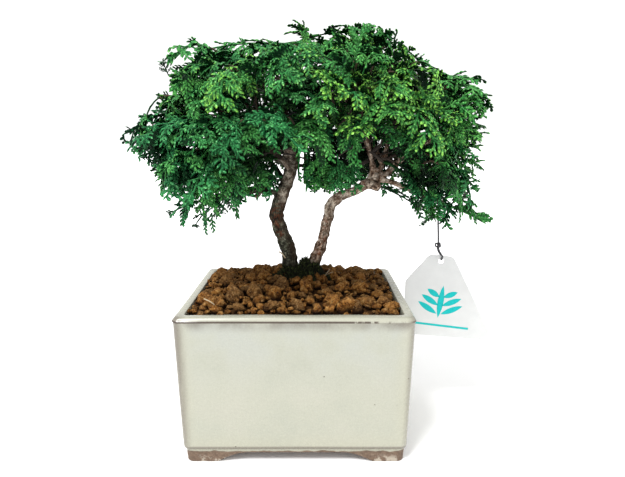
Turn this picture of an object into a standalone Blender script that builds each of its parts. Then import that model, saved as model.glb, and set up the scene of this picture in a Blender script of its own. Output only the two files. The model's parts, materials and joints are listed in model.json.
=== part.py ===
"""A hinoki cypress bonsai with two trunks, growing in a glazed rectangular pot.

Run with: blender --background --python part.py
The pot stands on its four feet. The front of the tree faces -Y and +Z is up. The frame's origin is
under the middle of the whole object's box, so the pot, which is nearer the tree's left side, stands
a little off it.
"""

import math
import random

import bmesh
import bpy
from mathutils import Matrix, Quaternion, Vector
from mathutils.bvhtree import BVHTree

TRIES = 60              # draws for a leafy stem before it is left out

# ---------------------------------------------------------------- the tree
# Every length below is in millimetres, measured from the middle of the pot's base.
# +X is the viewer's right, -Y is the front of the tree and +Z is up.

MM = 0.001
SEED = 5237
JOIN_GAP = 0.3          # between pieces that touch
UP = Vector((0, 0, 1))

# Centre lines of the two trunks and their radii, root to top.
LEFT_TRUNK = [(1, 6, 97), (-4, 6, 110), (-5, 6, 117), (-6, 5, 129), (-10, 4, 142), (-14, 2, 154),
              (-13, 1, 163), (-10, 2, 172), (-6, 3, 182), (-3.5, 4, 190), (-3.5, 5, 197), (-5, 5, 201)]
LEFT_RADII = [6.4, 6.2, 6.0, 5.6, 5.3, 5.1, 5.0, 4.7, 4.5, 4.5, 4.7, 3.6]
RIGHT_TRUNK = [(4, 6, 97), (9, 6, 110), (12, 6, 119), (16, 6, 129), (19, 5, 139), (21, 5, 149),
               (23, 4, 157), (25, 4, 164), (31, 3, 170), (38, 2, 173), (46, 1, 177), (51, 1, 180),
               (56, 2, 184)]
RIGHT_RADII = [4.9, 4.7, 4.5, 4.1, 3.8, 3.7, 3.8, 3.7, 3.5, 3.4, 3.6, 3.5, 2.6]

# Limbs: points on the centre line, radius at the root and radius at the tip.
LIMBS = {
    "left_low": ([(-10, 2, 172), (-22, -1, 174), (-37, -4, 174), (-50, -7, 171)], 2.3, 1.3),
    "left_mid": ([(-5, 5, 192), (-20, 2, 200), (-40, -4, 208), (-60, -7, 214)], 2.3, 1.3),
    "left_high": ([(-4, 5, 197), (-13, 7, 212), (-27, 9, 228), (-42, 10, 240)], 2.1, 1.3),
    "left_top": ([(-4, 5, 198), (-3, 9, 215), (-8, 12, 232), (-14, 13, 247)], 2.0, 1.2),
    "left_front": ([(-4, 3, 190), (-11, -12, 199), (-19, -27, 206), (-26, -40, 212)], 1.9, 1.2),
    "left_back": ([(-8, 4, 178), (-16, 18, 190), (-27, 32, 199), (-36, 44, 205)], 1.9, 1.2),
    "back_low": ([(-5, 4, 186), (-2, 20, 190), (4, 34, 190), (12, 46, 188)], 1.8, 1.2),
    "back_high": ([(-4, 6, 196), (4, 20, 212), (10, 33, 226), (14, 44, 236)], 1.8, 1.2),
    "right_inner": ([(51, 1, 180), (54, 3, 190), (52, 4, 200), (45, 4, 216), (36, 5, 231),
                     (31, 5, 246)], 2.2, 1.2),
    "right_upper": ([(56, 2, 184), (61, 5, 193), (64, 7, 205), (66, 8, 225), (62, 9, 244)], 2.2, 1.2),
    "right_outer": ([(55, 2, 183), (65, 3, 187), (70, 1, 193), (83, -1, 202), (97, -2, 213)], 2.3, 1.2),
    "right_low": ([(53, 1, 182), (66, 1, 181), (80, -2, 175), (92, -2, 170), (104, -1, 166.7)], 2.0, 1.25),
    "right_front": ([(54, 3, 190), (50, -12, 203), (45, -27, 213), (41, -40, 220)], 1.7, 1.2),
    "outer_front": ([(70, 1, 193), (77, -14, 201), (82, -27, 207), (86, -40, 211)], 1.7, 1.2),
    "outer_back": ([(65, 3, 187), (73, 18, 196), (79, 32, 203), (84, 44, 207)], 1.7, 1.2),
    "right_back": ([(61, 5, 193), (56, 19, 206), (50, 33, 217), (46, 46, 226)], 1.7, 1.2),
}
# Old pruning cuts and a bud: start, end and radius.
STUBS = {
    "cut_stub": ((52, 0, 180), (58.5, -3, 176), 3.2),
    "bud_left": ((-9, 4, 137), (-2.6, 1, 137.5), 1.7),
    "heel_left": ((-4, 5, 196), (-9, 3, 200), 2.2),
}

# The crown: a wide low dome with full shoulders, deeper at its two ends than over the trunks.
CROWN_CENTRE = (8, 0, 206)
CROWN_LEFT, CROWN_RIGHT = 118, 124
CROWN_FRONT, CROWN_BACK = 92, 90
CROWN_UP = 71
CROWN_FULLNESS = 2.7        # 2 is an ellipse, more is squarer
SHELL_STEMS = 27            # leafy stems spread over the dome by the golden angle
SHELL_LOWEST = -12          # degrees below the crown's middle
SHELL_START = 1.441       # radians, where the first of them stands
GOLDEN_ANGLE = 2.39996
# Over the trunks the crown's front edge stays this high, so the trunks show below it.
FRONT_EDGE = 214
FRONT_EDGE_FROM, FRONT_EDGE_TO = -30, 75
# Sprays set by hand: at the crown's two ends and its top, then those that hang at its lower edge.
SIDE_TIPS = [(-119, -12, 210), (-104, -34, 196), (-106, 26, 190), (-84, -6, 260), (-56, -12, 270),
             (-20, -4, 270), (20, -6, 280), (55, -6, 283), (134, -6, 240), (108, -8, 250),
             (132, 22, 222), (128, -16, 212), (84, -4, 256)]
SIDE_RISE = 0.4             # share of its height that such a spray's direction takes
HANGING_TIPS = [(-94, -14, 174), (-80, 8, 158), (-76, -36, 172), (-54, 8, 148), (-74, 46, 168),
                (-40, -30, 176), (-30, 34, 172), (-22, 60, 176), (138, -8, 154), (110, -20, 158),
                (96, 16, 163), (128, 30, 178), (120, -24, 184), (26, 62, 176), (60, 54, 174)]
# Space in front of the trunks and behind them that the sprays leave open: low and high corners.
OPEN_SPACES = [((-24, -95, 100), (8, -7, 203)), ((8, -95, 100), (72, -7, 187)),
               ((-32, 12, 100), (-13, 92, 164)), ((-13, 12, 100), (4, 92, 190)),
               ((4, 12, 100), (76, 92, 167))]

# The tag hangs on a string from a ring round the low right limb.
HITCH_AT = (100.6, -1, 167.6)
HITCH_WAY = (11, 1, -3)             # the limb's direction there
HITCH_RADIUS = 2.35
STRING_DIAMETER = 1.3
STRING_ROUTE = [(100.6, -1, 164.3), (100.65, -1, 161), (100.8, -0.9, 157.5), (101, -0.7, 154),
                (101.2, -0.5, 150.5), (101.5, -0.3, 147), (101.8, -0.1, 143.5), (102, 0, 140),
                (102.1, 0, 137.6)]
KNOT_AT = (102.1, 0, 135.2)
KNOT_RADIUS = 2.1
LOOP_BEND = 3.0
TAG_HOLE = (104.8, 0, 123.4)        # the hole's middle
TAG_HOLE_RADIUS = 2.2
TAG_TILT = 7.2                      # degrees, its foot swung to the left
# The tag's corners, across and up from its hole. The one by the pot's wall is cut off.
TAG_CORNERS = [(8.5, 4.2), (-8.5, 4.2), (-23.2, -17.9), (-18.8, -58.2), (49.5, -55.4)]
TAG_THICK = 0.9
TAG_ROUND = 5.0                     # radius of its corners
TAG_ROUND_STEPS = 6

# A leafy stem is a twig's green end, with one frond at its tip and one on each side.
STEM_LENGTH = 17
STEM_RADIUS = 1.3
STEM_BEND = 0.45            # share of its length before it bends down
STEM_FALL = 16              # degrees that it bends
TWIG_RADIUS = 1.25
TERMINAL = {"length": 50, "reach": 16.5, "lobes": 4, "root": 2.5}
LATERAL = {"length": 40, "reach": 15, "lobes": 3, "root": 0.2}
LATERAL_TURNS = [(44, 58), (40, 54)]    # degrees off the stem: the lower side frond, the upper
SIZE_SPREAD = (0.92, 1.08)
TWIST_SPREAD = (-14, 14)    # degrees about the frond's own axis
DROOPS = (0.3, 0.7)         # radians that a frond bends over its length
CUPS = (0.12, 0.3)          # how far its sides hang, as a share of its reach
FACE_UP, FACE_OUT = 0.62, 0.78      # a frond faces this mix of up and outward

FROND_THICK = 0.9
FOOT_HALF = 0.6             # half width of a frond's foot, which is sunk in its stem
RIB_HALF = 1.0
RIB_NARROWING = 0.33        # share of its width that the rib loses by the tip
FIRST_LOBE = 0.14           # share of a frond's length before its first lobe
LOBED_SHARE = 0.74
LOBE_START = 0.35           # share of a lobe's stretch of rib that lies before its middle line
LOBE_SWEEP = 0.62           # a lobe's tip lies this far forward for each unit that it lies out

TWIG_TURN = 20              # degrees that a frond sags below its twig's line
TWIG_WANDER = 9             # how far an awkward stem may move aside
CLEARANCE = 0.4             # kept between a frond and whatever it doesn't grow from
TWIG_CLEARANCE = 0.35
OWN_CLEARANCE = 0.05        # between fronds of one stem
STRING_CLEARANCE = 14       # radius kept clear round the tag's top
FIRST_TWIG = 0.3            # share of a limb's length before its first twig
TWIG_STEPS = 5              # places for a twig on each stretch of a limb
TWIG_AHEAD, TWIG_ALONG = 0.5, 0.4   # how much a twig's forward run counts against its length
WOOD_SIDES, LIMB_SIDES, TWIG_SIDES, STUB_SIDES = 8, 5, 4, 6


def unit(vector):
    return Vector(vector).normalized()


def square_to(vector, axis):
    """The part of vector at right angles to axis, at unit length."""
    return (vector - axis * vector.dot(axis)).normalized()


def turned(vector, axis, degrees):
    return Quaternion(axis, math.radians(degrees)) @ vector


def tube(route, radii, sides, first=None, final=None):
    """A closed tube with flat ends along a route: (points, triangles).

    first and final are the directions that its ends are square to.
    """
    route = [Vector(point) for point in route]
    last = len(route) - 1
    tangents = [unit(route[min(k + 1, last)] - route[max(k - 1, 0)]) for k in range(last + 1)]
    tangents[0] = first or tangents[0]
    tangents[-1] = final or tangents[-1]
    normal = square_to(Vector((0.31, -0.82, 0.48)), tangents[0])
    points, faces = [], []
    for centre, tangent, radius in zip(route, tangents, radii):
        normal = square_to(normal, tangent)
        side = tangent.cross(normal)
        for k in range(sides):
            angle = 2 * math.pi * k / sides
            points.append(centre + radius * (math.cos(angle) * normal + math.sin(angle) * side))
    for ring in range(last):
        for k in range(sides):
            a, b = ring * sides + k, ring * sides + (k + 1) % sides
            faces += [(a, b, b + sides), (a, b + sides, a + sides)]
    top = last * sides
    for k in range(1, sides - 1):
        faces += [(0, k + 1, k), (top, top + k, top + k + 1)]
    return points, faces


def lobe_reach(share, reach):
    """How far a frond's side reaches at a share of its length: widest before the middle."""
    return reach * math.sin(math.pi * (0.24 + 0.62 * share)) ** 0.9


def frond_place(frond, along, across, lift):
    """Carries a point of the flat frond onto its drooping, cupped form in space."""
    angle = frond["droop"] * along / frond["length"]
    radius = frond["length"] / frond["droop"]
    lift -= frond["cup"] * across ** 2 / frond["reach"]
    forward = radius * math.sin(angle) + lift * math.sin(angle)
    up = radius * (math.cos(angle) - 1) + lift * math.cos(angle)
    side = frond["normal"].cross(frond["axis"])
    return frond["origin"] + forward * frond["axis"] + across * side + up * frond["normal"]


def frond_blade(frond, grow=0.0):
    """One frond as a thin arched blade cut into pointed lobes: (points, triangles)."""
    length, reach, lobes = frond["length"], frond["reach"], frond["lobes"]
    first, pitch = FIRST_LOBE * length, LOBED_SHARE * length / lobes
    outline = [(-frond["root"], -FOOT_HALF - grow), (-frond["root"], FOOT_HALF + grow)]
    lefts, rights, tips = [1], [0], []
    for k in range(lobes + 1):
        along = first + k * pitch
        narrow = RIB_HALF * (1 - RIB_NARROWING * k / lobes) + grow
        rights.append(len(outline))
        lefts.append(len(outline) + 1)
        outline += [(along, -narrow), (along, narrow)]
    for k in range(lobes):
        wide = lobe_reach((k + 0.5) / lobes, reach) + grow
        along = first + (k + LOBE_START) * pitch + LOBE_SWEEP * wide
        tips.append((len(outline), len(outline) + 1))
        outline += [(along, -wide), (along, wide)]
    end = len(outline)
    outline.append((length + grow, 0.0))
    flat = [(rights[0], rights[1], lefts[1]), (rights[0], lefts[1], lefts[0])]
    border = [(rights[0], rights[1])]
    for k in range(1, lobes + 1):
        right, left, next_right, next_left = rights[k], lefts[k], rights[k + 1], lefts[k + 1]
        tip_right, tip_left = tips[k - 1]
        flat += [(right, next_right, next_left), (right, next_left, left)]
        flat += [(right, tip_right, next_right), (left, next_left, tip_left)]
        border += [(right, tip_right), (tip_right, next_right)]
    border += [(rights[-1], end), (end, lefts[-1])]
    for k in range(lobes, 0, -1):
        border += [(lefts[k + 1], tips[k - 1][1]), (tips[k - 1][1], lefts[k])]
    border += [(lefts[1], lefts[0]), (lefts[0], rights[0])]
    flat.append((rights[-1], end, lefts[-1]))
    half = 0.5 * FROND_THICK + grow
    count = len(outline)
    points = [frond_place(frond, u, v, half) for u, v in outline]
    points += [frond_place(frond, u, v, -half) for u, v in outline]
    faces = list(flat) + [(c + count, b + count, a + count) for a, b, c in flat]
    for a, b in border:
        faces += [(b, a, a + count), (b, a + count, b + count)]
    return points, faces


def facing(outward):
    """The way that the fronds face where the crown's outward direction is the given one."""
    return FACE_UP * UP + FACE_OUT * outward


def sagged(direction, degrees):
    """A direction turned down towards the ground."""
    return turned(direction, direction.cross(UP).normalized(), -degrees)


def spray_frond(origin, axis, outward, shape, rng):
    """One frond that starts inside its stem, lies like a shingle on the crown and droops."""
    normal = square_to(facing(outward), axis)
    if normal.z < 0:
        normal = -normal
    scale = rng.uniform(*SIZE_SPREAD)
    return {"origin": origin, "axis": axis, "normal": turned(normal, axis, rng.uniform(*TWIST_SPREAD)),
            "length": shape["length"] * scale, "reach": shape["reach"] * scale,
            "lobes": shape["lobes"], "droop": rng.uniform(*DROOPS), "cup": rng.uniform(*CUPS),
            "root": shape["root"]}


def leafy_stem(anchor, direction, outward, rng):
    """A green stem with a frond at its end and one on each side."""
    plane = square_to(facing(outward), direction)
    fall = sagged(direction, STEM_FALL)
    middle = anchor + STEM_BEND * STEM_LENGTH * direction
    end = middle + (1 - STEM_BEND) * STEM_LENGTH * fall
    fronds = [spray_frond(end, fall, outward, TERMINAL, rng)]
    side = rng.choice((-1, 1))
    places = (anchor.lerp(middle, 0.6), middle.lerp(end, 0.3))
    turns = [rng.uniform(*spread) for spread in LATERAL_TURNS]
    for place, turn in zip(places, turns):
        axis = turned(fall, plane, side * turn)
        fronds.append(spray_frond(place, axis, outward, LATERAL, rng))
        side = -side
    return {"route": [anchor, middle, end], "radii": [STEM_RADIUS, STEM_RADIUS, 0.9 * STEM_RADIUS],
            "direction": direction, "fronds": fronds}


def crown_tips():
    """Where the leafy stems' tips come, with the crown's outward direction there."""
    centre = Vector(CROWN_CENTRE)
    lowest = math.sin(math.radians(SHELL_LOWEST))
    tips = []
    for point in SIDE_TIPS:
        away = Vector(point) - centre
        tips.append((Vector(point), unit((away.x, away.y, SIDE_RISE * away.z))))
    for point in HANGING_TIPS:
        away = Vector(point) - centre
        tips.append((Vector(point), unit((away.x, away.y, -0.25 * abs(away.x) - 8))))
    for k in range(SHELL_STEMS):
        height = lowest + (0.97 - lowest) * (k + 0.5) / SHELL_STEMS
        around = SHELL_START + k * GOLDEN_ANGLE
        flat = math.sqrt(1 - height ** 2)
        way = Vector((flat * math.cos(around), flat * math.sin(around), height))
        reach = (CROWN_RIGHT if way.x > 0 else CROWN_LEFT, CROWN_BACK if way.y > 0 else CROWN_FRONT,
                 CROWN_UP)
        swell = sum(abs(share) ** CROWN_FULLNESS for share in way) ** (-1 / CROWN_FULLNESS)
        tip = centre + swell * Vector([a * b for a, b in zip(way, reach)])
        if tip.y < -0.4 * CROWN_FRONT and FRONT_EDGE_FROM < tip.x < FRONT_EDGE_TO:
            tip.z = max(tip.z, FRONT_EDGE)
        tips.append((tip, way))
    return tips


class Thicket:
    """The solids placed so far, by owner, for finding what a new one would cross."""

    def __init__(self):
        self.solids = []

    def add(self, owner, solid):
        points = [Vector(point) for point in solid[0]]
        low = [min(point[k] for point in points) for k in range(3)]
        high = [max(point[k] for point in points) for k in range(3)]
        self.solids.append((owner, low, high, BVHTree.FromPolygons(points, solid[1])))

    def crosses(self, solid, but=()):
        points = [Vector(point) for point in solid[0]]
        low = [min(point[k] for point in points) for k in range(3)]
        high = [max(point[k] for point in points) for k in range(3)]
        tree = None
        for owner, other_low, other_high, other in self.solids:
            if owner in but or any(low[k] > other_high[k] or other_low[k] > high[k] for k in range(3)):
                continue
            tree = tree or BVHTree.FromPolygons(points, solid[1])
            if tree.overlap(other):
                return True
        return False


def places_along(points):
    """Places on a limb's or a twig's centre line where a twig may start: (point, direction)."""
    places = []
    stretches = list(zip(points, points[1:]))
    for number, (start, end) in enumerate(stretches):
        for step in range(TWIG_STEPS):
            share = step / TWIG_STEPS
            if (number + share) / len(stretches) > FIRST_TWIG:
                places.append((Vector(start).lerp(Vector(end), share), unit(Vector(end) - Vector(start))))
    return places


def twig_route(places, anchor, direction):
    """The route of the twig that carries a leafy stem, from the best place on the limbs."""
    def cost(place):
        way = anchor - place[0]
        ahead, along = unit(way).dot(direction), unit(way).dot(place[1])
        return way.length * (1 + TWIG_AHEAD * (1 - ahead) + TWIG_ALONG * (1 - along))
    start, along = min(places, key=cost)
    span = (anchor - start).length
    lead = start + 0.5 * span * unit(unit(anchor - start) + 0.5 * along)
    return [start, lead.lerp(anchor - 0.5 * span * direction, 0.5), anchor]


def wood_tubes():
    """The trunks, limbs and stubs as {name: (route, radii, sides)}."""
    tubes = {"left_trunk": (LEFT_TRUNK, LEFT_RADII, WOOD_SIDES),
             "right_trunk": (RIGHT_TRUNK, RIGHT_RADII, WOOD_SIDES)}
    for name, (points, root, tip) in LIMBS.items():
        last = len(points) - 1
        tubes[name] = (points, [root + (tip - root) * k / last for k in range(last + 1)], LIMB_SIDES)
    for name, (start, end, radius) in STUBS.items():
        tubes[name] = ([start, end], [radius * 1.1, radius * 0.8], STUB_SIDES)
    return tubes


def string_space():
    """Solids round the string, its knot and the tag's top, which the foliage keeps clear of."""
    ring, knot, hole = Vector(HITCH_AT), Vector(KNOT_AT), Vector(TAG_HOLE)
    wide = HITCH_RADIUS + STRING_DIAMETER
    return [tube([ring + Vector((-1.6, 0, 0)), ring + Vector((1.6, 0, 0))], [wide, wide], 8),
            tube([ring, Vector(STRING_ROUTE[4]), knot], [STRING_DIAMETER] * 3, 6),
            tube([knot + Vector((0, 0, 3)), hole - Vector((0, 0, 6))], [4, STRING_CLEARANCE], 8)]


def in_open_space(solid):
    """Whether any point of a solid lies in a space that the sprays leave open."""
    return any(all(low[k] < point[k] < high[k] for k in range(3))
               for point in solid[0] for low, high in OPEN_SPACES)


def grow_crown():
    """Twigs and leafy stems, each bent until it is clear of all that was placed before it."""
    rng = random.Random(SEED)
    thicket = Thicket()
    for name, (route, radii, sides) in wood_tubes().items():
        thicket.add("wood", tube(route, radii, sides))
    for solid in string_space():
        thicket.add("string", solid)
    places = [place for points, _, _ in LIMBS.values() for place in places_along(points)]
    stems = []
    for number, (tip, outward) in enumerate(crown_tips()):
        best = None
        for attempt in range(TRIES):
            loose = attempt / TRIES
            way = Vector((outward.x, outward.y, 0.55 * outward.z + 0.1))
            way = unit(way + loose * Vector([rng.uniform(-0.5, 0.5) for _ in range(3)]))
            shift = Vector([rng.uniform(-TWIG_WANDER, TWIG_WANDER) * loose for _ in range(3)])
            sag = sagged(way, TWIG_TURN)
            anchor = tip + shift - STEM_LENGTH * way - 0.93 * TERMINAL["length"] * sag
            stem = leafy_stem(anchor, way, outward, rng)
            route = twig_route(places, anchor - JOIN_GAP * way, way)
            stem["twig"] = route
            twig = tube(route, [TWIG_RADIUS + TWIG_CLEARANCE] * 3, TWIG_SIDES, None, way)
            if thicket.crosses(twig, ("wood",)):
                continue
            body = tube(stem["route"], [1.35 * r for r in stem["radii"]], TWIG_SIDES, way)
            own = Thicket()
            own.add("twig", tube(route, [TWIG_RADIUS + 0.2] * 3, TWIG_SIDES, None, way))
            if thicket.crosses(body) or own.crosses(body) or in_open_space(body):
                continue
            kept = []
            for frond in stem["fronds"]:
                blade = frond_blade(frond, CLEARANCE)
                if in_open_space(blade) or thicket.crosses(blade):
                    continue
                if not own.crosses(frond_blade(frond, OWN_CLEARANCE)):
                    kept.append(frond)
                    own.add("frond", frond_blade(frond))
            if stem["fronds"][0] not in kept:
                continue
            if best is None or len(kept) > len(best["fronds"]):
                stem["fronds"] = kept
                best = stem
            if len(best["fronds"]) == 3:
                break
        if best is None:
            continue
        best["number"] = number
        stems.append(best)
        owner = "stem_%d" % number
        thicket.add(owner, tube(best["route"], best["radii"], TWIG_SIDES, best["direction"]))
        thicket.add("wood", tube(best["twig"], [TWIG_RADIUS] * 3, TWIG_SIDES, None, best["direction"]))
        for frond in best["fronds"]:
            thicket.add(owner, frond_blade(frond))
        places += places_along(best["twig"][:2])
    return stems


# ---------------------------------------------------------------- the pot and what fills it

POT_LENGTH, POT_WIDTH, POT_HEIGHT = 153.4, 120, 102.4      # at the rim's outer edge
RIM_DROP = 2.8              # the rim's face slopes down to its outer edge
RIM_FLAT = 5.0              # width of the rim's flat top
RIM_OUT = 2.0               # from the flat top out to the edge
WALL_TAPER = 2.2            # each side draws in this much from rim to base
WALL = 6.0
FLOOR_TOP = 17.0
BODY_BOTTOM = 9.5
FOOT_INSET = 1.6            # the feet stand in from the wall above them
CORNER_RADIUS = 5.0
CORNER_STEPS = 3
FOOT_RING = 13.0            # from the feet's outside to the hollow between them
ARCH_RISE = 7.0             # the arched openings between the feet
ARCH_FOOT_X, ARCH_TOP_X = 52, 31
ARCH_FOOT_Y, ARCH_TOP_Y = 38, 20
DRAIN_RADIUS = 11

SCREEN_SIDE, SCREEN_THICK = 34, 1.4
SCREEN_SLOT, SCREEN_PITCH = 5.0, 8.0

SOIL_EDGE = 99.0            # the gravel's height at the pot's wall
SOIL_RISE = 10.5            # how far it mounds up round the trunks
MOUND_REACH = (68, 53)      # where the mound has run out, from the pot's middle
PLANT_HOLE = (3.5, 6, 15.5, 9.5)     # centre x and y, half length and half width
HOLE_FLOOR = 93.0
ROOT_RADII = [8.0, 8.4, 6.0]    # of the root ball that joins the two trunks in the soil
STONE_ROWS, STONE_COLUMNS = 7, 9
STONE_WALL = 7.8            # stones keep this far in from the rim's outer edge
STONE_MARGIN = 13.5         # and their middles this far
STONE_SIZE = (4.8, 6.8)     # smallest and largest half width
STONE_SEED = 5
SOIL_COLUMNS, SOIL_ROWS = 8, 6      # squares of its mounded top

FLAT_ANGLE = math.radians(0.3)      # faces nearer to one plane than this are merged
SMOOTH_ANGLE = 60                   # degrees: sharper edges of wood and knot stay sharp
GLAZE_ANGLE = 35

WOOD_COLOUR = (0.19, 0.12, 0.08)
LEAF_COLOURS = [(0.02, 0.12, 0.06), (0.04, 0.17, 0.07), (0.07, 0.24, 0.07)]
GLAZE_COLOUR = (0.75, 0.72, 0.61)
GRAVEL_COLOUR = (0.28, 0.12, 0.045)
SCREEN_COLOUR = (0.03, 0.03, 0.03)
TAG_COLOUR = (0.86, 0.87, 0.86)
TWINE_COLOUR = (0.05, 0.05, 0.055)


# ---------------------------------------------------------------- helpers

def material(name, colour, roughness):
    made = bpy.data.materials.new(name)
    made.use_nodes = True
    made.diffuse_color = (*colour, 1)
    shader = made.node_tree.nodes["Principled BSDF"]
    shader.inputs["Base Color"].default_value = (*colour, 1)
    shader.inputs["Roughness"].default_value = roughness
    shader.inputs["Metallic"].default_value = 0.0
    return made


def add_object(name, solid, finish=None):
    """A mesh object from points in millimetres and faces."""
    mesh = bpy.data.meshes.new(name)
    mesh.from_pydata([Vector(point) * MM for point in solid[0]], [], solid[1])
    mesh.update()
    made = bpy.data.objects.new(name, mesh)
    bpy.context.scene.collection.objects.link(made)
    if finish:
        mesh.materials.append(finish)
    return made


def apply_modifiers(made):
    """Turns what the modifiers make into the object's own mesh."""
    graph = bpy.context.evaluated_depsgraph_get()
    mesh = bpy.data.meshes.new_from_object(made.evaluated_get(graph))
    made.modifiers.clear()
    made.data = mesh


def clean(made):
    """Merges faces that lie in one plane and drops points that a union left on straight edges."""
    grid = bmesh.new()
    grid.from_mesh(made.data)
    bmesh.ops.dissolve_limit(grid, angle_limit=FLAT_ANGLE, verts=grid.verts, edges=grid.edges)
    bmesh.ops.triangulate(grid, faces=grid.faces)
    grid.to_mesh(made.data)
    grid.free()


def cut(made, cutters):
    """Takes the cutters out of an object, then removes them."""
    for number, cutter in enumerate(cutters):
        cutter.hide_render = True
        cutter.display_type = "WIRE"
        boolean = made.modifiers.new("cut_%d" % number, "BOOLEAN")
        boolean.operation = "DIFFERENCE"
        boolean.solver = "EXACT"
        boolean.object = cutter
    apply_modifiers(made)
    for cutter in cutters:
        bpy.data.objects.remove(cutter)


def fuse(made, solids, solver="EXACT"):
    """Joins closed solids to an object in one union, then removes them."""
    group = bpy.data.collections.new(made.name + "_repeats")
    bpy.context.scene.collection.children.link(group)
    for number, solid in enumerate(solids):
        piece = add_object("%s_repeat_%d" % (made.name, number), solid)
        bpy.context.scene.collection.objects.unlink(piece)
        group.objects.link(piece)
    boolean = made.modifiers.new("fuse", "BOOLEAN")
    boolean.operation = "UNION"
    boolean.operand_type = "COLLECTION"
    boolean.solver = solver
    boolean.collection = group
    apply_modifiers(made)
    for piece in list(group.objects):
        bpy.data.objects.remove(piece)
    bpy.data.collections.remove(group)
    clean(made)


def shade(made, degrees):
    """Shades an object smooth but for edges sharper than the angle."""
    made.data.shade_smooth()
    made.data.set_sharp_from_angle(angle=math.radians(degrees))


def rounded_rectangle(half_x, half_y, radius, steps):
    """The outline of a rectangle with round corners, anticlockwise seen from above."""
    outline = []
    for corner in range(4):
        centre_x = (half_x - radius) * (1 if corner in (0, 3) else -1)
        centre_y = (half_y - radius) * (1 if corner in (0, 1) else -1)
        for step in range(steps + 1):
            angle = math.pi / 2 * (corner + step / steps)
            outline.append((centre_x + radius * math.cos(angle), centre_y + radius * math.sin(angle)))
    return outline


def loft(rings):
    """A closed solid through rings of as many points each, capped flat at both ends."""
    count = len(rings[0])
    points = [point for ring in rings for point in ring]
    faces = [tuple(range(count - 1, -1, -1))]
    for ring in range(len(rings) - 1):
        for k in range(count):
            a, b = ring * count + k, ring * count + (k + 1) % count
            faces.append((a, b, b + count, a + count))
    top = (len(rings) - 1) * count
    faces.append(tuple(range(top, top + count)))
    return points, faces


def box(centre, size):
    """A box from its centre and its full size."""
    x, y, z = (0.5 * side for side in size)
    outline = [(x, y), (-x, y), (-x, -y), (x, -y)]
    rings = [[(centre[0] + a, centre[1] + b, centre[2] + h) for a, b in outline] for h in (-z, z)]
    return loft(rings)


def ellipse_prism(centre, half_x, half_y, low, high, steps):
    angles = [2 * math.pi * k / steps for k in range(steps)]
    return loft([[(centre[0] + half_x * math.cos(a), centre[1] + half_y * math.sin(a), height)
                  for a in angles] for height in (low, high)])


# ---------------------------------------------------------------- pot

def wall_inset(height):
    """How far the outer wall has drawn in from the rim's edge at a height."""
    edge = POT_HEIGHT - RIM_DROP
    return WALL_TAPER * (edge - height) / (edge - BODY_BOTTOM)


def pot_ring(height, inset, radius):
    outline = rounded_rectangle(POT_LENGTH / 2 - inset, POT_WIDTH / 2 - inset, radius, CORNER_STEPS)
    return [(x, y, height) for x, y in outline]


def arch(foot, top, along):
    """A cutter for the opening between two feet, running out through both sides along an axis."""
    profile = [(-foot, -1), (foot, -1), (foot, 0)]
    profile += [(foot + (top - foot) * k / 4, ARCH_RISE * math.sin(math.pi / 8 * k)) for k in range(1, 5)]
    profile += [(-x, z) for x, z in profile[:2:-1]] + [(-foot, 0)]
    far = POT_LENGTH
    if along == "Y":
        return loft([[(a, y, z) for a, z in profile] for y in (far, -far)])
    return loft([[(x, a, z) for a, z in profile] for x in (-far, far)])


def make_pot():
    edge = POT_HEIGHT - RIM_DROP
    neck = edge - 3.0
    inner_top = RIM_OUT + RIM_FLAT
    base = wall_inset(BODY_BOTTOM)
    rings = [
        pot_ring(0, base + FOOT_INSET + 0.6, CORNER_RADIUS),
        pot_ring(BODY_BOTTOM - 0.8, base + FOOT_INSET, CORNER_RADIUS),
        pot_ring(BODY_BOTTOM, base + 0.9, CORNER_RADIUS),
        pot_ring(BODY_BOTTOM + 2.5, base, CORNER_RADIUS),
        pot_ring(neck, wall_inset(neck) + 0.3, CORNER_RADIUS),
        pot_ring(edge, 0.0, CORNER_RADIUS - 1),
        pot_ring(POT_HEIGHT - 0.5, RIM_OUT - 0.6, CORNER_RADIUS - 1),
        pot_ring(POT_HEIGHT, RIM_OUT + 0.4, CORNER_RADIUS - 1),
        pot_ring(POT_HEIGHT, inner_top - 0.9, 3.0),
        pot_ring(POT_HEIGHT - 0.9, inner_top, 3.0),
        pot_ring(FLOOR_TOP, WALL_TAPER + inner_top, 3.0),
    ]
    pot = add_object("pot", loft(rings), material("cream_glaze", GLAZE_COLOUR, 0.3))
    base += FOOT_INSET + FOOT_RING
    under = rounded_rectangle(POT_LENGTH / 2 - base, POT_WIDTH / 2 - base, 3.0, 2)
    cutters = [
        add_object("under_cutter", loft([[(x, y, z) for x, y in under] for z in (-1, ARCH_RISE + 1)])),
        add_object("arch_x_cutter", arch(ARCH_FOOT_Y, ARCH_TOP_Y, "X")),
        add_object("arch_y_cutter", arch(ARCH_FOOT_X, ARCH_TOP_X, "Y")),
        add_object("drain_cutter", ellipse_prism((0, 0), DRAIN_RADIUS, DRAIN_RADIUS, 1, 30, 16)),
    ]
    cut(pot, cutters)
    shade(pot, GLAZE_ANGLE)
    return pot


def make_screen():
    """A plastic mesh that keeps the soil from falling through the drain hole."""
    height = FLOOR_TOP + JOIN_GAP + SCREEN_THICK / 2
    screen = add_object("drain_screen", box((0, 0, height), (SCREEN_SIDE, SCREEN_SIDE, SCREEN_THICK)),
                        material("black_mesh", SCREEN_COLOUR, 0.6))
    size = (SCREEN_SLOT, SCREEN_SIDE - 6, 4 * SCREEN_THICK)
    cut(screen, [add_object("screen_cutter_%d" % k, box(((k - 1) * SCREEN_PITCH, 0, height), size))
                 for k in range(3)])
    return screen


# ---------------------------------------------------------------- soil and gravel

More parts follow.
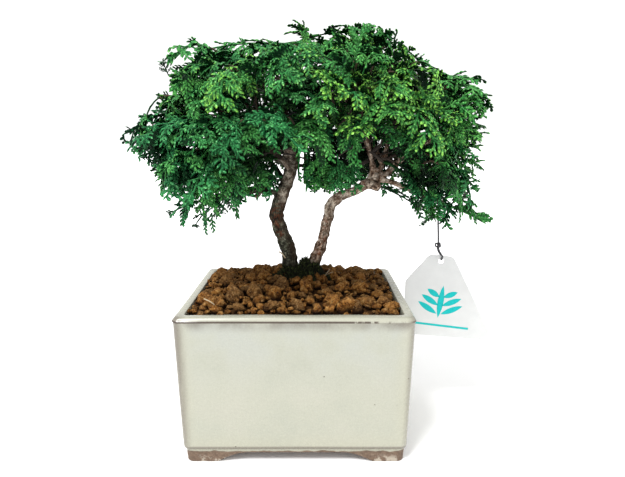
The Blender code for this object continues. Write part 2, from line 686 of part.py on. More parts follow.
def soil_height(x, y):
    """The gravel's surface: level at the walls, mounded where the trunks stand."""
    across = max(0.0, 1 - (x / MOUND_REACH[0]) ** 2) * max(0.0, 1 - (y / MOUND_REACH[1]) ** 2)
    return SOIL_EDGE + SOIL_RISE * across ** 0.8


def stone(centre, size, rng):
    """A rough stone: a twisted block with its corners pushed about at random."""
    corners = []
    for level, twist in ((-0.62, 0.0), (0.62, 0.25 * math.pi)):
        for k in range(4):
            angle = twist + 0.5 * math.pi * k
            corners.append(Vector((0.78 * math.cos(angle), 0.78 * math.sin(angle), level)))
    block = bmesh.new()
    for corner in corners:
        block.verts.new(corner * size * rng.uniform(0.85, 1.25))
    bmesh.ops.convex_hull(block, input=block.verts)
    tilt = Quaternion(unit([rng.uniform(-1, 1) for _ in range(3)]), rng.uniform(0, 2 * math.pi))
    bmesh.ops.rotate(block, cent=(0, 0, 0), verts=block.verts, matrix=tilt.to_matrix())
    bmesh.ops.triangulate(block, faces=block.faces)
    bmesh.ops.recalc_face_normals(block, faces=block.faces)
    block.verts.index_update()
    stretch = Vector((rng.uniform(1.0, 1.25), rng.uniform(0.95, 1.15), rng.uniform(0.85, 1.0)))
    points = [centre + Vector(a * b for a, b in zip(vert.co, stretch)) for vert in block.verts]
    faces = [tuple(vert.index for vert in face.verts) for face in block.faces]
    block.free()
    return points, faces


def kept_inside(solid):
    """A stone moved in from the pot's wall, if it would reach it."""
    points, faces = solid
    for axis, limit in ((0, POT_LENGTH / 2 - STONE_WALL), (1, POT_WIDTH / 2 - STONE_WALL)):
        over = max(point[axis] for point in points) - limit
        under = -limit - min(point[axis] for point in points)
        shift = -max(over, 0) + max(under, 0)
        for point in points:
            point[axis] += shift
    return points, faces


def stones():
    """Stones in staggered rows over the surface, left out where the trunks stand."""
    rng = random.Random(STONE_SEED)
    hole_x, hole_y, half_x, half_y = PLANT_HOLE
    reach_x, reach_y = POT_LENGTH / 2 - STONE_MARGIN, POT_WIDTH / 2 - STONE_MARGIN
    made = []
    for row in range(STONE_ROWS):
        for column in range(STONE_COLUMNS):
            x = reach_x * (2 * (column + 0.5 * (row % 2)) / (STONE_COLUMNS - 0.5) - 1) + rng.uniform(-2, 2)
            y = reach_y * (2 * row / (STONE_ROWS - 1) - 1) + rng.uniform(-2, 2)
            size = rng.uniform(*STONE_SIZE)
            x = max(-reach_x, min(reach_x, x))
            y = max(-reach_y, min(reach_y, y))
            centre = Vector((x, y, soil_height(x, y) + 0.15 * size + rng.uniform(-0.8, 1.4)))
            solid = kept_inside(stone(centre, size, rng))
            wide = size * 1.5
            if ((x - hole_x) / (half_x + wide)) ** 2 + ((y - hole_y) / (half_y + wide)) ** 2 > 1:
                made.append(solid)
    return made


def make_substrate():
    """The soil block with its mounded top and the gravel grown together with it."""
    columns, rows = SOIL_COLUMNS, SOIL_ROWS
    bottom, side = FLOOR_TOP + JOIN_GAP, 7.0 + JOIN_GAP
    points, faces = [], []
    for low in (True, False):
        for row in range(rows + 1):
            for column in range(columns + 1):
                height = bottom if low else SOIL_EDGE
                inset = side + WALL_TAPER * (POT_HEIGHT - height) / (POT_HEIGHT - FLOOR_TOP)
                x = (POT_LENGTH / 2 - inset) * (2 * column / columns - 1)
                y = (POT_WIDTH / 2 - inset) * (2 * row / rows - 1)
                corner = row in (0, rows) and column in (0, columns)
                x, y = (x * 0.985, y * 0.985) if corner else (x, y)
                points.append((x, y, bottom if low else soil_height(x, y)))
    across = columns + 1
    level = across * (rows + 1)
    for row in range(rows):
        for column in range(columns):
            a = row * across + column
            square = (a, a + 1, a + 1 + across, a + across)
            faces.append(tuple(level + k for k in square))
    around = list(range(columns))
    around += [row * across + columns for row in range(rows)]
    around += [rows * across + column for column in range(columns, 0, -1)]
    around += [row * across for row in range(rows, 0, -1)]
    for k, a in enumerate(around):
        b = around[(k + 1) % len(around)]
        faces.append((a, b, b + level, a + level))
    faces.append(tuple(reversed(around)))
    used = sorted({index for face in faces for index in face})
    place = {index: k for k, index in enumerate(used)}
    block = [points[index] for index in used], [tuple(place[k] for k in face) for face in faces]
    soil = add_object("substrate", block, material("lava_gravel", GRAVEL_COLOUR, 0.95))
    fuse(soil, stones())
    hole_x, hole_y, half_x, half_y = PLANT_HOLE
    recess = SCREEN_SIDE + 2 * JOIN_GAP
    thick = 2 * (SCREEN_THICK + JOIN_GAP)
    cut(soil, [
        add_object("plant_cutter", ellipse_prism((hole_x, hole_y), half_x, half_y, HOLE_FLOOR, 140, 14)),
        add_object("screen_recess", box((0, 0, bottom), (recess, recess, thick))),
    ])
    return soil


# ---------------------------------------------------------------- wood and foliage

def make_wood(stems):
    """Trunks, limbs, pruning cuts and twigs, grown as one piece."""
    tubes = wood_tubes()
    solids = [tube(*tubes[name]) for name in tubes if name != "left_trunk"]
    root_ball = [(3, 6, HOLE_FLOOR + JOIN_GAP), (3, 6, 97), (3, 6, 101)]
    solids.append(tube(root_ball, ROOT_RADII, WOOD_SIDES))
    for stem in stems:
        solids.append(tube(stem["twig"], [TWIG_RADIUS] * 3, TWIG_SIDES, None, stem["direction"]))
    wood = add_object("trunk_and_branches", tube(*tubes["left_trunk"]),
                      material("bark", WOOD_COLOUR, 0.85))
    fuse(wood, solids, "MANIFOLD")
    shade(wood, SMOOTH_ANGLE)
    return wood


def make_leafy_stem(number, stem):
    body = tube(stem["route"], stem["radii"], TWIG_SIDES, stem["direction"])
    colour = LEAF_COLOURS[number % len(LEAF_COLOURS)]
    spray = add_object("leafy_stem_%02d" % number, body, material("foliage_%02d" % number, colour, 0.5))
    fuse(spray, [frond_blade(frond) for frond in stem["fronds"]])
    return spray


# ---------------------------------------------------------------- tag and string

def tag_frame():
    """Places the flat tag: its hole at the origin, its face to the front, then tilted."""
    return Matrix.Translation(Vector(TAG_HOLE)) @ Matrix.Rotation(math.radians(TAG_TILT), 4, "Y")


def tag_outline():
    """The tag's outline with round corners, anticlockwise seen from the front."""
    corners = [Vector(corner) for corner in TAG_CORNERS]
    outline = []
    for k, corner in enumerate(corners):
        to_last = (corners[k - 1] - corner).normalized()
        to_next = (corners[(k + 1) % len(corners)] - corner).normalized()
        half = to_last.angle(to_next) / 2
        middle = corner + (to_last + to_next).normalized() * TAG_ROUND / math.sin(half)
        start = corner + to_last * TAG_ROUND / math.tan(half) - middle
        turn = math.pi - 2 * half
        for step in range(TAG_ROUND_STEPS + 1):
            angle = turn * step / TAG_ROUND_STEPS
            swing = Vector((start.x * math.cos(angle) - start.y * math.sin(angle),
                            start.x * math.sin(angle) + start.y * math.cos(angle)))
            outline.append(middle + swing)
    return outline


def make_tag():
    outline = tag_outline()
    place = tag_frame()
    rings = [[place @ Vector((point.x, y, point.y)) for point in outline]
             for y in (-TAG_THICK / 2, TAG_THICK / 2)]
    points, faces = loft(rings)
    tag = add_object("tag", (points, [face[::-1] for face in faces]),
                     material("white_plastic", TAG_COLOUR, 0.35))
    angles = [2 * math.pi * k / 16 for k in range(16)]
    hole = [[place @ Vector((TAG_HOLE_RADIUS * math.cos(a), y, TAG_HOLE_RADIUS * math.sin(a)))
             for a in angles] for y in (2, -2)]
    cut(tag, [add_object("tag_hole_cutter", loft(hole))])
    return tag


def string_tube(name, points, closed=False):
    """A cord as a curve with a round bevel, along a route in millimetres."""
    curve = bpy.data.curves.new(name, "CURVE")
    curve.dimensions = "3D"
    curve.bevel_depth = STRING_DIAMETER / 2 * MM
    curve.bevel_resolution = 2
    curve.use_fill_caps = not closed
    spline = curve.splines.new("POLY")
    spline.points.add(len(points) - 1)
    for slot, point in zip(spline.points, points):
        slot.co = (*(Vector(point) * MM), 1)
    spline.use_cyclic_u = closed
    curve.materials.append(material(name + "_twine", TWINE_COLOUR, 0.8))
    made = bpy.data.objects.new(name, curve)
    bpy.context.scene.collection.objects.link(made)
    return made


def loop_route():
    """The loop from the knot, through the tag's hole under its upper edge and back to the knot."""
    knot, hole = Vector(KNOT_AT), Vector(TAG_HOLE)
    low = hole.z + TAG_HOLE_RADIUS - STRING_DIAMETER / 2 - JOIN_GAP
    high = knot.z - KNOT_RADIUS - JOIN_GAP
    middle = Vector((hole.x, 0, low + LOOP_BEND))
    arc = [middle + LOOP_BEND * Vector((0, math.sin(a), -math.cos(a)))
           for a in [math.pi * k / 8 - math.pi / 2 for k in range(9)]]
    down = [Vector((knot.x, -1.0, high)), Vector((knot.x + 0.7, -2.0, high - 2.0))]
    back = [Vector((point.x, -point.y, point.z)) for point in reversed(down)]
    return down + arc + back


def hitch_route():
    """The ring round the limb, square to it."""
    way = unit(HITCH_WAY)
    up = square_to(UP, way)
    side = way.cross(up)
    angles = [2 * math.pi * k / 10 for k in range(10)]
    return [Vector(HITCH_AT) + HITCH_RADIUS * (math.cos(a) * up + math.sin(a) * side) for a in angles]


def make_string():
    """The string, the tag's loop and the ring round the limb that carries them."""
    string = string_tube("tag_string", STRING_ROUTE)
    loop = string_tube("tag_loop", loop_route())
    hitch = string_tube("string_hitch", hitch_route(), closed=True)
    return [string, loop, hitch]


def make_knot():
    ball = bmesh.new()
    bmesh.ops.create_uvsphere(ball, u_segments=10, v_segments=6, radius=KNOT_RADIUS * MM)
    mesh = bpy.data.meshes.new("tag_knot")
    ball.to_mesh(mesh)
    ball.free()
    mesh.materials.append(material("knot_twine", TWINE_COLOUR, 0.8))
    knot = bpy.data.objects.new("tag_knot", mesh)
    knot.location = Vector(KNOT_AT) * MM
    knot.scale = (0.85, 0.85, 1.0)
    bpy.context.scene.collection.objects.link(knot)
    shade(knot, SMOOTH_ANGLE)
    return knot


def box_bottom(pieces):
    """The point under the middle of the box round the given objects."""
    bpy.context.view_layer.update()
    corners = [piece.matrix_world @ Vector(corner) for piece in pieces for corner in piece.bound_box]
    low = [min(corner[k] for corner in corners) for k in range(3)]
    high = [max(corner[k] for corner in corners) for k in range(3)]
    return Vector(((low[0] + high[0]) / 2, (low[1] + high[1]) / 2, low[2]))


def main():
    for old in list(bpy.data.objects):
        bpy.data.objects.remove(old)
    stems = grow_crown()
    pieces = [make_pot(), make_screen(), make_substrate(), make_wood(stems)]
    pieces += [make_leafy_stem(number + 1, stem) for number, stem in enumerate(stems)]
    origin = bpy.data.objects.new("bonsai_origin", None)
    bpy.context.scene.collection.objects.link(origin)
    origin.location = -box_bottom(pieces)
    for piece in pieces + make_string() + [make_knot(), make_tag()]:
        piece.parent = origin


main()
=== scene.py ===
"""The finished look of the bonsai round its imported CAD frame: fine foliage, bark, gravel, moss,
a glazed pot, the tag and its string, with the floor, lights and camera."""

import json
import math
import random

import bmesh
import bpy
import numpy as np
from mathutils import Matrix, Quaternion, Vector, noise
from mathutils.bvhtree import BVHTree
from mathutils.kdtree import KDTree

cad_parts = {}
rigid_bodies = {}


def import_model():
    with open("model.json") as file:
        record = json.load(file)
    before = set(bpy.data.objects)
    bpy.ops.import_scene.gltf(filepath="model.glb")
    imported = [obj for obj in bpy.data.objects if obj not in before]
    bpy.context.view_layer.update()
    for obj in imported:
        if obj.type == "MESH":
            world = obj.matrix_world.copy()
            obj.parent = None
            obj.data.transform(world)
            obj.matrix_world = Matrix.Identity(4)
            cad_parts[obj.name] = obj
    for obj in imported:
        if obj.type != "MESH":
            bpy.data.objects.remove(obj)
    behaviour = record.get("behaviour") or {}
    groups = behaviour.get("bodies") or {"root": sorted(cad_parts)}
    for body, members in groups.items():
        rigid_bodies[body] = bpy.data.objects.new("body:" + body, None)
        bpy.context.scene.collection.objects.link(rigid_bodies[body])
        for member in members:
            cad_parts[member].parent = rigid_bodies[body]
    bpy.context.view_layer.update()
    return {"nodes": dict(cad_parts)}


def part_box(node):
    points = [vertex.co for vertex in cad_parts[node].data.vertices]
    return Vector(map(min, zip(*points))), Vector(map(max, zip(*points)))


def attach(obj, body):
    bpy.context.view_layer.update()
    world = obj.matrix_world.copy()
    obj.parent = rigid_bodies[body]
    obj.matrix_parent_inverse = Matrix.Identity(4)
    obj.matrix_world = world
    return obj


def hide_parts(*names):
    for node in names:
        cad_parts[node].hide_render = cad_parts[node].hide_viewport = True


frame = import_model()

# ---------------------------------------------------------------- the tree
# Every length below is in millimetres, measured from the middle of the pot's base.
# +X is the viewer's right, -Y is the front of the tree and +Z is up.

MM = 0.001
SEED = 5237
JOIN_GAP = 0.3          # between pieces that touch
UP = Vector((0, 0, 1))
ASKEW = Vector((0.31, -0.82, 0.48))     # along no limb, so it starts the frame of every tube

# Centre lines of the two trunks and their radii, root to top.
LEFT_TRUNK = [(1, 6, 97), (-4, 6, 110), (-5, 6, 117), (-6, 5, 129), (-10, 4, 142), (-14, 2, 154),
              (-13, 1, 163), (-10, 2, 172), (-6, 3, 182), (-3.5, 4, 190), (-3.5, 5, 197),
              (-5, 5, 201)]
LEFT_RADII = [6.4, 6.2, 6.0, 5.6, 5.3, 5.1, 5.0, 4.7, 4.5, 4.5, 4.7, 3.6]
RIGHT_TRUNK = [(4, 6, 97), (9, 6, 110), (12, 6, 119), (16, 6, 129), (19, 5, 139), (21, 5, 149),
               (23, 4, 157), (25, 4, 164), (31, 3, 170), (38, 2, 173), (46, 1, 177), (51, 1, 180),
               (56, 2, 184)]
RIGHT_RADII = [4.9, 4.7, 4.5, 4.1, 3.8, 3.7, 3.8, 3.7, 3.5, 3.4, 3.6, 3.5, 2.6]

# Limbs: points on the centre line, radius at the root and radius at the tip.
LIMBS = {
    "left_low": ([(-10, 2, 172), (-22, -1, 174), (-37, -4, 174), (-50, -7, 171)], 2.3, 1.3),
    "left_mid": ([(-5, 5, 192), (-20, 2, 200), (-40, -4, 208), (-60, -7, 214)], 2.3, 1.3),
    "left_high": ([(-4, 5, 197), (-13, 7, 212), (-27, 9, 228), (-42, 10, 240)], 2.1, 1.3),
    "left_top": ([(-4, 5, 198), (-3, 9, 215), (-8, 12, 232), (-14, 13, 247)], 2.0, 1.2),
    "left_front": ([(-4, 3, 190), (-11, -12, 199), (-19, -27, 206), (-26, -40, 212)], 1.9, 1.2),
    "left_back": ([(-8, 4, 178), (-16, 18, 190), (-27, 32, 199), (-36, 44, 205)], 1.9, 1.2),
    "back_low": ([(-5, 4, 186), (-2, 20, 190), (4, 34, 190), (12, 46, 188)], 1.8, 1.2),
    "back_high": ([(-4, 6, 196), (4, 20, 212), (10, 33, 226), (14, 44, 236)], 1.8, 1.2),
    "right_inner": ([(51, 1, 180), (54, 3, 190), (52, 4, 200), (45, 4, 216), (36, 5, 231),
                     (31, 5, 246)], 2.2, 1.2),
    "right_upper": ([(56, 2, 184), (61, 5, 193), (64, 7, 205), (66, 8, 225), (62, 9, 244)],
                    2.2, 1.2),
    "right_outer": ([(55, 2, 183), (65, 3, 187), (70, 1, 193), (83, -1, 202), (97, -2, 213)],
                    2.3, 1.2),
    "right_low": ([(53, 1, 182), (66, 1, 181), (80, -2, 175), (92, -2, 170), (104, -1, 166.7)],
                  2.0, 1.25),
    "right_front": ([(54, 3, 190), (50, -12, 203), (45, -27, 213), (41, -40, 220)], 1.7, 1.2),
    "outer_front": ([(70, 1, 193), (77, -14, 201), (82, -27, 207), (86, -40, 211)], 1.7, 1.2),
    "outer_back": ([(65, 3, 187), (73, 18, 196), (79, 32, 203), (84, 44, 207)], 1.7, 1.2),
    "right_back": ([(61, 5, 193), (56, 19, 206), (50, 33, 217), (46, 46, 226)], 1.7, 1.2),
}
# Old pruning cuts and a bud: start, end and radius.
STUBS = {
    "cut_stub": ((52, 0, 180), (58.5, -3, 176), 3.2),
    "bud_left": ((-9, 4, 137), (-2.6, 1, 137.5), 1.7),
    "heel_left": ((-4, 5, 196), (-9, 3, 200), 2.2),
}

# The crown: a wide low dome with full shoulders, deeper at its two ends than over the trunks.
CROWN_CENTRE = (8, 0, 206)
CROWN_LEFT, CROWN_RIGHT = 118, 124
CROWN_FRONT, CROWN_BACK = 92, 90
CROWN_UP = 71
CROWN_TOP = 0.97            # the height share of the dome where the topmost stem stands
CROWN_FULLNESS = 2.7        # 2 is an ellipse, more is squarer
SHELL_STEMS = 27            # leafy stems spread over the dome by the golden angle
SHELL_LOWEST = -12          # degrees below the crown's middle
SHELL_START = 1.441         # radians, where the first of them stands
GOLDEN_ANGLE = 2.39996
# Over the trunks the crown's front edge stays this high, so the trunks show below it.
FRONT_EDGE = 214
FRONT_EDGE_FROM, FRONT_EDGE_TO = -30, 75
FRONT_SHARE = 0.4           # further forward than this share of the crown's front
# Sprays set one by one: at the crown's two ends and its top, then those that hang at its lower edge.
SIDE_TIPS = [(-119, -12, 210), (-104, -34, 196), (-106, 26, 190), (-84, -6, 260), (-56, -12, 270),
             (-20, -4, 270), (20, -6, 280), (55, -6, 283), (134, -6, 240), (108, -8, 250),
             (132, 22, 222), (128, -16, 212), (84, -4, 256)]
SIDE_RISE = 0.4             # share of its height that such a spray's direction takes
HANGING_TIPS = [(-94, -14, 174), (-80, 8, 158), (-76, -36, 172), (-54, 8, 148), (-74, 46, 168),
                (-40, -30, 176), (-30, 34, 172), (-22, 60, 176), (138, -8, 154), (110, -20, 158),
                (96, 16, 163), (128, 30, 178), (120, -24, 184), (26, 62, 176), (60, 54, 174)]
# Space in front of the trunks and behind them that the sprays leave open: low and high corners.
OPEN_SPACES = [((-24, -95, 100), (8, -7, 203)), ((8, -95, 100), (72, -7, 187)),
               ((-32, 12, 100), (-13, 92, 164)), ((-13, 12, 100), (4, 92, 190)),
               ((4, 12, 100), (76, 92, 167))]

# The tag hangs on a string from a ring round the low right limb.
HITCH_AT = (100.6, -1, 167.6)
HITCH_WAY = (11, 1, -3)             # the limb's direction there
HITCH_RADIUS = 2.35
STRING_DIAMETER = 1.3
STRING_ROUTE = [(100.6, -1, 164.3), (100.65, -1, 161), (100.8, -0.9, 157.5), (101, -0.7, 154),
                (101.2, -0.5, 150.5), (101.5, -0.3, 147), (101.8, -0.1, 143.5), (102, 0, 140),
                (102.1, 0, 137.6)]
KNOT_AT = (102.1, 0, 135.2)
KNOT_RADIUS = 2.1
LOOP_BEND = 3.0
TAG_HOLE = (104.8, 0, 123.4)        # the hole's middle
TAG_HOLE_RADIUS = 2.2
TAG_TILT = 7.2                      # degrees, its foot swung to the left
TAG_THICK = 0.9

# A leafy stem is a twig's green end, with one frond at its tip and one on each side.
STEM_LENGTH = 17
STEM_RADIUS = 1.3
STEM_BEND = 0.45            # share of its length before it bends down
STEM_FALL = 16              # degrees that it bends
TWIG_RADIUS = 1.25
TERMINAL = {"length": 50, "reach": 16.5, "lobes": 4, "root": 2.5}
LATERAL = {"length": 40, "reach": 15, "lobes": 3, "root": 0.2}
LATERAL_TURNS = [(44, 58), (40, 54)]    # degrees off the stem: the lower side frond, the upper
SIZE_SPREAD = (0.92, 1.08)
TWIST_SPREAD = (-14, 14)    # degrees about the frond's own axis
DROOPS = (0.3, 0.7)         # radians that a frond bends over its length
CUPS = (0.12, 0.3)          # how far its sides hang, as a share of its reach
FACE_UP, FACE_OUT = 0.62, 0.78      # a frond faces this mix of up and outward

FROND_THICK = 0.9
FOOT_HALF = 0.6             # half width of a frond's foot, which is sunk in its stem
RIB_HALF = 1.0
RIB_NARROWING = 0.33        # share of its width that the rib loses by the tip
FIRST_LOBE = 0.14           # share of a frond's length before its first lobe
LOBED_SHARE = 0.74
LOBE_START = 0.35           # share of a lobe's stretch of rib that lies before its middle line
LOBE_SWEEP = 0.62           # a lobe's tip lies this far forward for each unit that it lies out

TWIG_TURN = 20              # degrees that a frond sags below its twig's line
WAY_RISE, WAY_LIFT = 0.55, 0.1      # how much of the outward rise a stem takes, and what is added
WAY_SPREAD = 0.5            # how far an awkward stem may turn
FROND_RUN = 0.93            # share of the end frond that lies before the stem's tip
TWIG_WANDER = 9             # how far an awkward stem may move aside
CLEARANCE = 0.4             # kept between a frond and whatever it doesn't grow from
TWIG_CLEARANCE = 0.35
OWN_CLEARANCE = 0.05        # between fronds of one stem
OWN_TWIG_CLEARANCE = 0.2
STEM_SWELL = 1.35           # a stem is tested at this many times its radius
STRING_CLEARANCE = 14       # radius kept clear round the tag's top
FIRST_TWIG = 0.3            # share of a limb's length before its first twig
TWIG_STEPS = 5              # places for a twig on each stretch of a limb
TRIES = 60                  # draws for a leafy stem before it is left out
TWIG_AHEAD, TWIG_ALONG = 0.5, 0.4   # how much a twig's forward run counts against its length
WOOD_SIDES, LIMB_SIDES, TWIG_SIDES, STUB_SIDES = 8, 5, 4, 6


def unit(vector):
    return Vector(vector).normalized()


def square_to(vector, axis):
    """The part of vector at right angles to axis, at unit length."""
    return (vector - axis * vector.dot(axis)).normalized()


def turned(vector, axis, degrees):
    return Quaternion(axis, math.radians(degrees)) @ vector


def drawn(draw, low, high):
    """A vector of three random draws."""
    return Vector([draw(low, high) for _ in range(3)])


def rows(points):
    """Vectors as an array."""
    return np.array([tuple(point) for point in points])


def circle(steps):
    """Angles once round, in radians."""
    return [2 * math.pi * k / steps for k in range(steps)]


def round_point(centre, radius, first, second, angle):
    """A point on a circle in the plane of two directions."""
    return centre + radius * (math.cos(angle) * first + math.sin(angle) * second)


def in_boxes(point, boxes):
    """Whether a point lies in one of the boxes, each given by its low and high corners."""
    return any(all(low[k] < point[k] < high[k] for k in range(3)) for low, high in boxes)


def skin(count, rings, first=0):
    """Triangles between rings of as many points each."""
    faces = []
    for start in range(first, first + count * rings, count):
        for k in range(count):
            a, b = start + k, start + (k + 1) % count
            faces += [(a, b, b + count), (a, b + count, a + count)]
    return faces


def direction_at(route, k):
    """Which way a route runs at its point k, not at unit length."""
    return route[min(k + 1, len(route) - 1)] - route[max(k - 1, 0)]


def tube(route, radii, sides, first=None, final=None):
    """A closed tube with flat ends along a route: (points, triangles).

    first and final are the directions that its ends are square to.
    """
    route = [Vector(point) for point in route]
    last = len(route) - 1
    tangents = [unit(direction_at(route, k)) for k in range(last + 1)]
    tangents[0] = first or tangents[0]
    tangents[-1] = final or tangents[-1]
    normal = square_to(ASKEW, tangents[0])
    points = []
    for centre, tangent, radius in zip(route, tangents, radii):
        normal = square_to(normal, tangent)
        points += [round_point(centre, radius, normal, tangent.cross(normal), angle)
                   for angle in circle(sides)]
    faces = skin(sides, last)
    top = last * sides
    for k in range(1, sides - 1):
        faces += [(0, k + 1, k), (top, top + k, top + k + 1)]
    return points, faces


def lobe_reach(share, reach):
    """How far a frond's side reaches at a share of its length: widest before the middle."""
    return reach * math.sin(math.pi * (0.24 + 0.62 * share)) ** 0.9


def frond_place(frond, along, across, lift):
    """Carries a point of the flat frond onto its drooping, cupped form in space."""
    angle = frond["droop"] * along / frond["length"]
    radius = frond["length"] / frond["droop"]
    lift -= frond["cup"] * across ** 2 / frond["reach"]
    forward = radius * math.sin(angle) + lift * math.sin(angle)
    up = radius * (math.cos(angle) - 1) + lift * math.cos(angle)
    side = frond["normal"].cross(frond["axis"])
    return frond["origin"] + forward * frond["axis"] + across * side + up * frond["normal"]


def frond_at(frond, share, across=0):
    """A point of a frond at a share of its length."""
    return frond_place(frond, share * frond["length"], across, 0)


def frond_blade(frond, grow=0.0):
    """One frond as a thin arched blade cut into pointed lobes: (points, triangles)."""
    length, reach, lobes = frond["length"], frond["reach"], frond["lobes"]
    first, pitch = FIRST_LOBE * length, LOBED_SHARE * length / lobes
    outline = [(-frond["root"], -FOOT_HALF - grow), (-frond["root"], FOOT_HALF + grow)]
    lefts, rights, tips = [1], [0], []
    for k in range(lobes + 1):
        along = first + k * pitch
        narrow = RIB_HALF * (1 - RIB_NARROWING * k / lobes) + grow
        rights.append(len(outline))
        lefts.append(len(outline) + 1)
        outline += [(along, -narrow), (along, narrow)]
    for k in range(lobes):
        wide = lobe_reach((k + 0.5) / lobes, reach) + grow
        along = first + (k + LOBE_START) * pitch + LOBE_SWEEP * wide
        tips.append((len(outline), len(outline) + 1))
        outline += [(along, -wide), (along, wide)]
    end = len(outline)
    outline.append((length + grow, 0.0))
    flat = [(rights[0], rights[1], lefts[1]), (rights[0], lefts[1], lefts[0])]
    border = [(rights[0], rights[1])]
    for right, left, next_right, next_left, (tip_right, tip_left) in zip(
            rights[1:], lefts[1:], rights[2:], lefts[2:], tips):
        flat += [(right, next_right, next_left), (right, next_left, left),
                 (right, tip_right, next_right), (left, next_left, tip_left)]
        border += [(right, tip_right), (tip_right, next_right)]
    border += [(rights[-1], end), (end, lefts[-1])]
    for k in range(lobes, 0, -1):
        border += [(lefts[k + 1], tips[k - 1][1]), (tips[k - 1][1], lefts[k])]
    border += [(lefts[1], lefts[0]), (lefts[0], rights[0])]
    flat.append((rights[-1], end, lefts[-1]))
    half = 0.5 * FROND_THICK + grow
    count = len(outline)
    points = [frond_place(frond, u, v, side) for side in (half, -half) for u, v in outline]
    faces = list(flat) + [(c + count, b + count, a + count) for a, b, c in flat]
    for a, b in border:
        faces += [(b, a, a + count), (b, a + count, b + count)]
    return points, faces


def facing(outward):
    """The way that the fronds face where the crown's outward direction is the given one."""
    return FACE_UP * UP + FACE_OUT * outward


def sagged(direction, degrees):
    """A direction turned down towards the ground."""
    return turned(direction, direction.cross(UP).normalized(), -degrees)


def spray_frond(origin, axis, outward, shape, rng):
    """One frond that starts inside its stem, lies like a shingle on the crown and droops."""
    normal = square_to(facing(outward), axis)
    if normal.z < 0:
        normal = -normal
    scale = rng.uniform(*SIZE_SPREAD)
    normal = turned(normal, axis, rng.uniform(*TWIST_SPREAD))
    return {"origin": origin, "axis": axis, "normal": normal, "length": shape["length"] * scale,
            "reach": shape["reach"] * scale, "lobes": shape["lobes"], "root": shape["root"],
            "droop": rng.uniform(*DROOPS), "cup": rng.uniform(*CUPS)}


def leafy_stem(anchor, direction, outward, rng):
    """A green stem with a frond at its end and one on each side."""
    plane = square_to(facing(outward), direction)
    fall = sagged(direction, STEM_FALL)
    middle = anchor + STEM_BEND * STEM_LENGTH * direction
    end = middle + (1 - STEM_BEND) * STEM_LENGTH * fall
    fronds = [spray_frond(end, fall, outward, TERMINAL, rng)]
    side = rng.choice((-1, 1))
    places = (anchor.lerp(middle, 0.6), middle.lerp(end, 0.3))
    turns = [rng.uniform(*spread) for spread in LATERAL_TURNS]
    for place, turn in zip(places, turns):
        axis = turned(fall, plane, side * turn)
        fronds.append(spray_frond(place, axis, outward, LATERAL, rng))
        side = -side
    return {"route": [anchor, middle, end], "radii": [STEM_RADIUS, STEM_RADIUS, 0.9 * STEM_RADIUS],
            "direction": direction, "fronds": fronds}


def crown_tips():
    """Where the leafy stems' tips come, with the crown's outward direction there."""
    centre = Vector(CROWN_CENTRE)
    lowest = math.sin(math.radians(SHELL_LOWEST))
    tips = []
    for point in SIDE_TIPS + HANGING_TIPS:
        away = Vector(point) - centre
        rise = SIDE_RISE * away.z if point in SIDE_TIPS else -0.25 * abs(away.x) - 8
        tips.append((Vector(point), unit((away.x, away.y, rise))))
    for k in range(SHELL_STEMS):
        height = lowest + (CROWN_TOP - lowest) * (k + 0.5) / SHELL_STEMS
        around = SHELL_START + k * GOLDEN_ANGLE
        flat = math.sqrt(1 - height ** 2)
        way = Vector((flat * math.cos(around), flat * math.sin(around), height))
        reach = (CROWN_RIGHT if way.x > 0 else CROWN_LEFT, CROWN_BACK if way.y > 0 else CROWN_FRONT,
                 CROWN_UP)
        swell = sum(abs(share) ** CROWN_FULLNESS for share in way) ** (-1 / CROWN_FULLNESS)
        tip = centre + swell * Vector([a * b for a, b in zip(way, reach)])
        if tip.y < -FRONT_SHARE * CROWN_FRONT and FRONT_EDGE_FROM < tip.x < FRONT_EDGE_TO:
            tip.z = max(tip.z, FRONT_EDGE)
        tips.append((tip, way))
    return tips


class Thicket:
    """The solids placed so far, for finding what a new one would cross."""

    def __init__(self, *solids, wood=False):
        self.solids = []
        self.add(*solids, wood=wood)

    @staticmethod
    def boxed(solid):
        """A solid's points with the low and high corners of its box."""
        points = [Vector(point) for point in solid[0]]
        corners = [[pick(point[k] for point in points) for k in range(3)] for pick in (min, max)]
        return points, *corners

    def add(self, *solids, wood=False):
        for solid in solids:
            points, low, high = self.boxed(solid)
            self.solids.append((wood, low, high, BVHTree.FromPolygons(points, solid[1])))

    def crosses(self, solid, but_wood=False):
        """Whether a solid crosses one of them, apart from the wood if that is said."""
        points, low, high = self.boxed(solid)
        tree = BVHTree.FromPolygons(points, solid[1])
        return any(not (wood and but_wood)
                   and all(low[k] <= other_high[k] and other_low[k] <= high[k] for k in range(3))
                   and tree.overlap(other) for wood, other_low, other_high, other in self.solids)


def places_along(points):
    """Places on a limb's or a twig's centre line where a twig may start: (point, direction)."""
    places = []
    stretches = list(zip(points, points[1:]))
    for number, (start, end) in enumerate(stretches):
        for step in range(TWIG_STEPS):
            share = step / TWIG_STEPS
            if (number + share) / len(stretches) > FIRST_TWIG:
                a, b = Vector(start), Vector(end)
                places.append((a.lerp(b, share), unit(b - a)))
    return places


def twig_route(places, anchor, direction):
    """The route of the twig that carries a leafy stem, from the best place on the limbs."""
    def cost(place):
        way = anchor - place[0]
        ahead, along = unit(way).dot(direction), unit(way).dot(place[1])
        return way.length * (1 + TWIG_AHEAD * (1 - ahead) + TWIG_ALONG * (1 - along))
    start, along = min(places, key=cost)
    span = (anchor - start).length
    lead = start + 0.5 * span * unit(unit(anchor - start) + 0.5 * along)
    return [start, lead.lerp(anchor - 0.5 * span * direction, 0.5), anchor]


def limb_radii(points, root, tip):
    last = len(points) - 1
    return [root + (tip - root) * k / last for k in range(last + 1)]


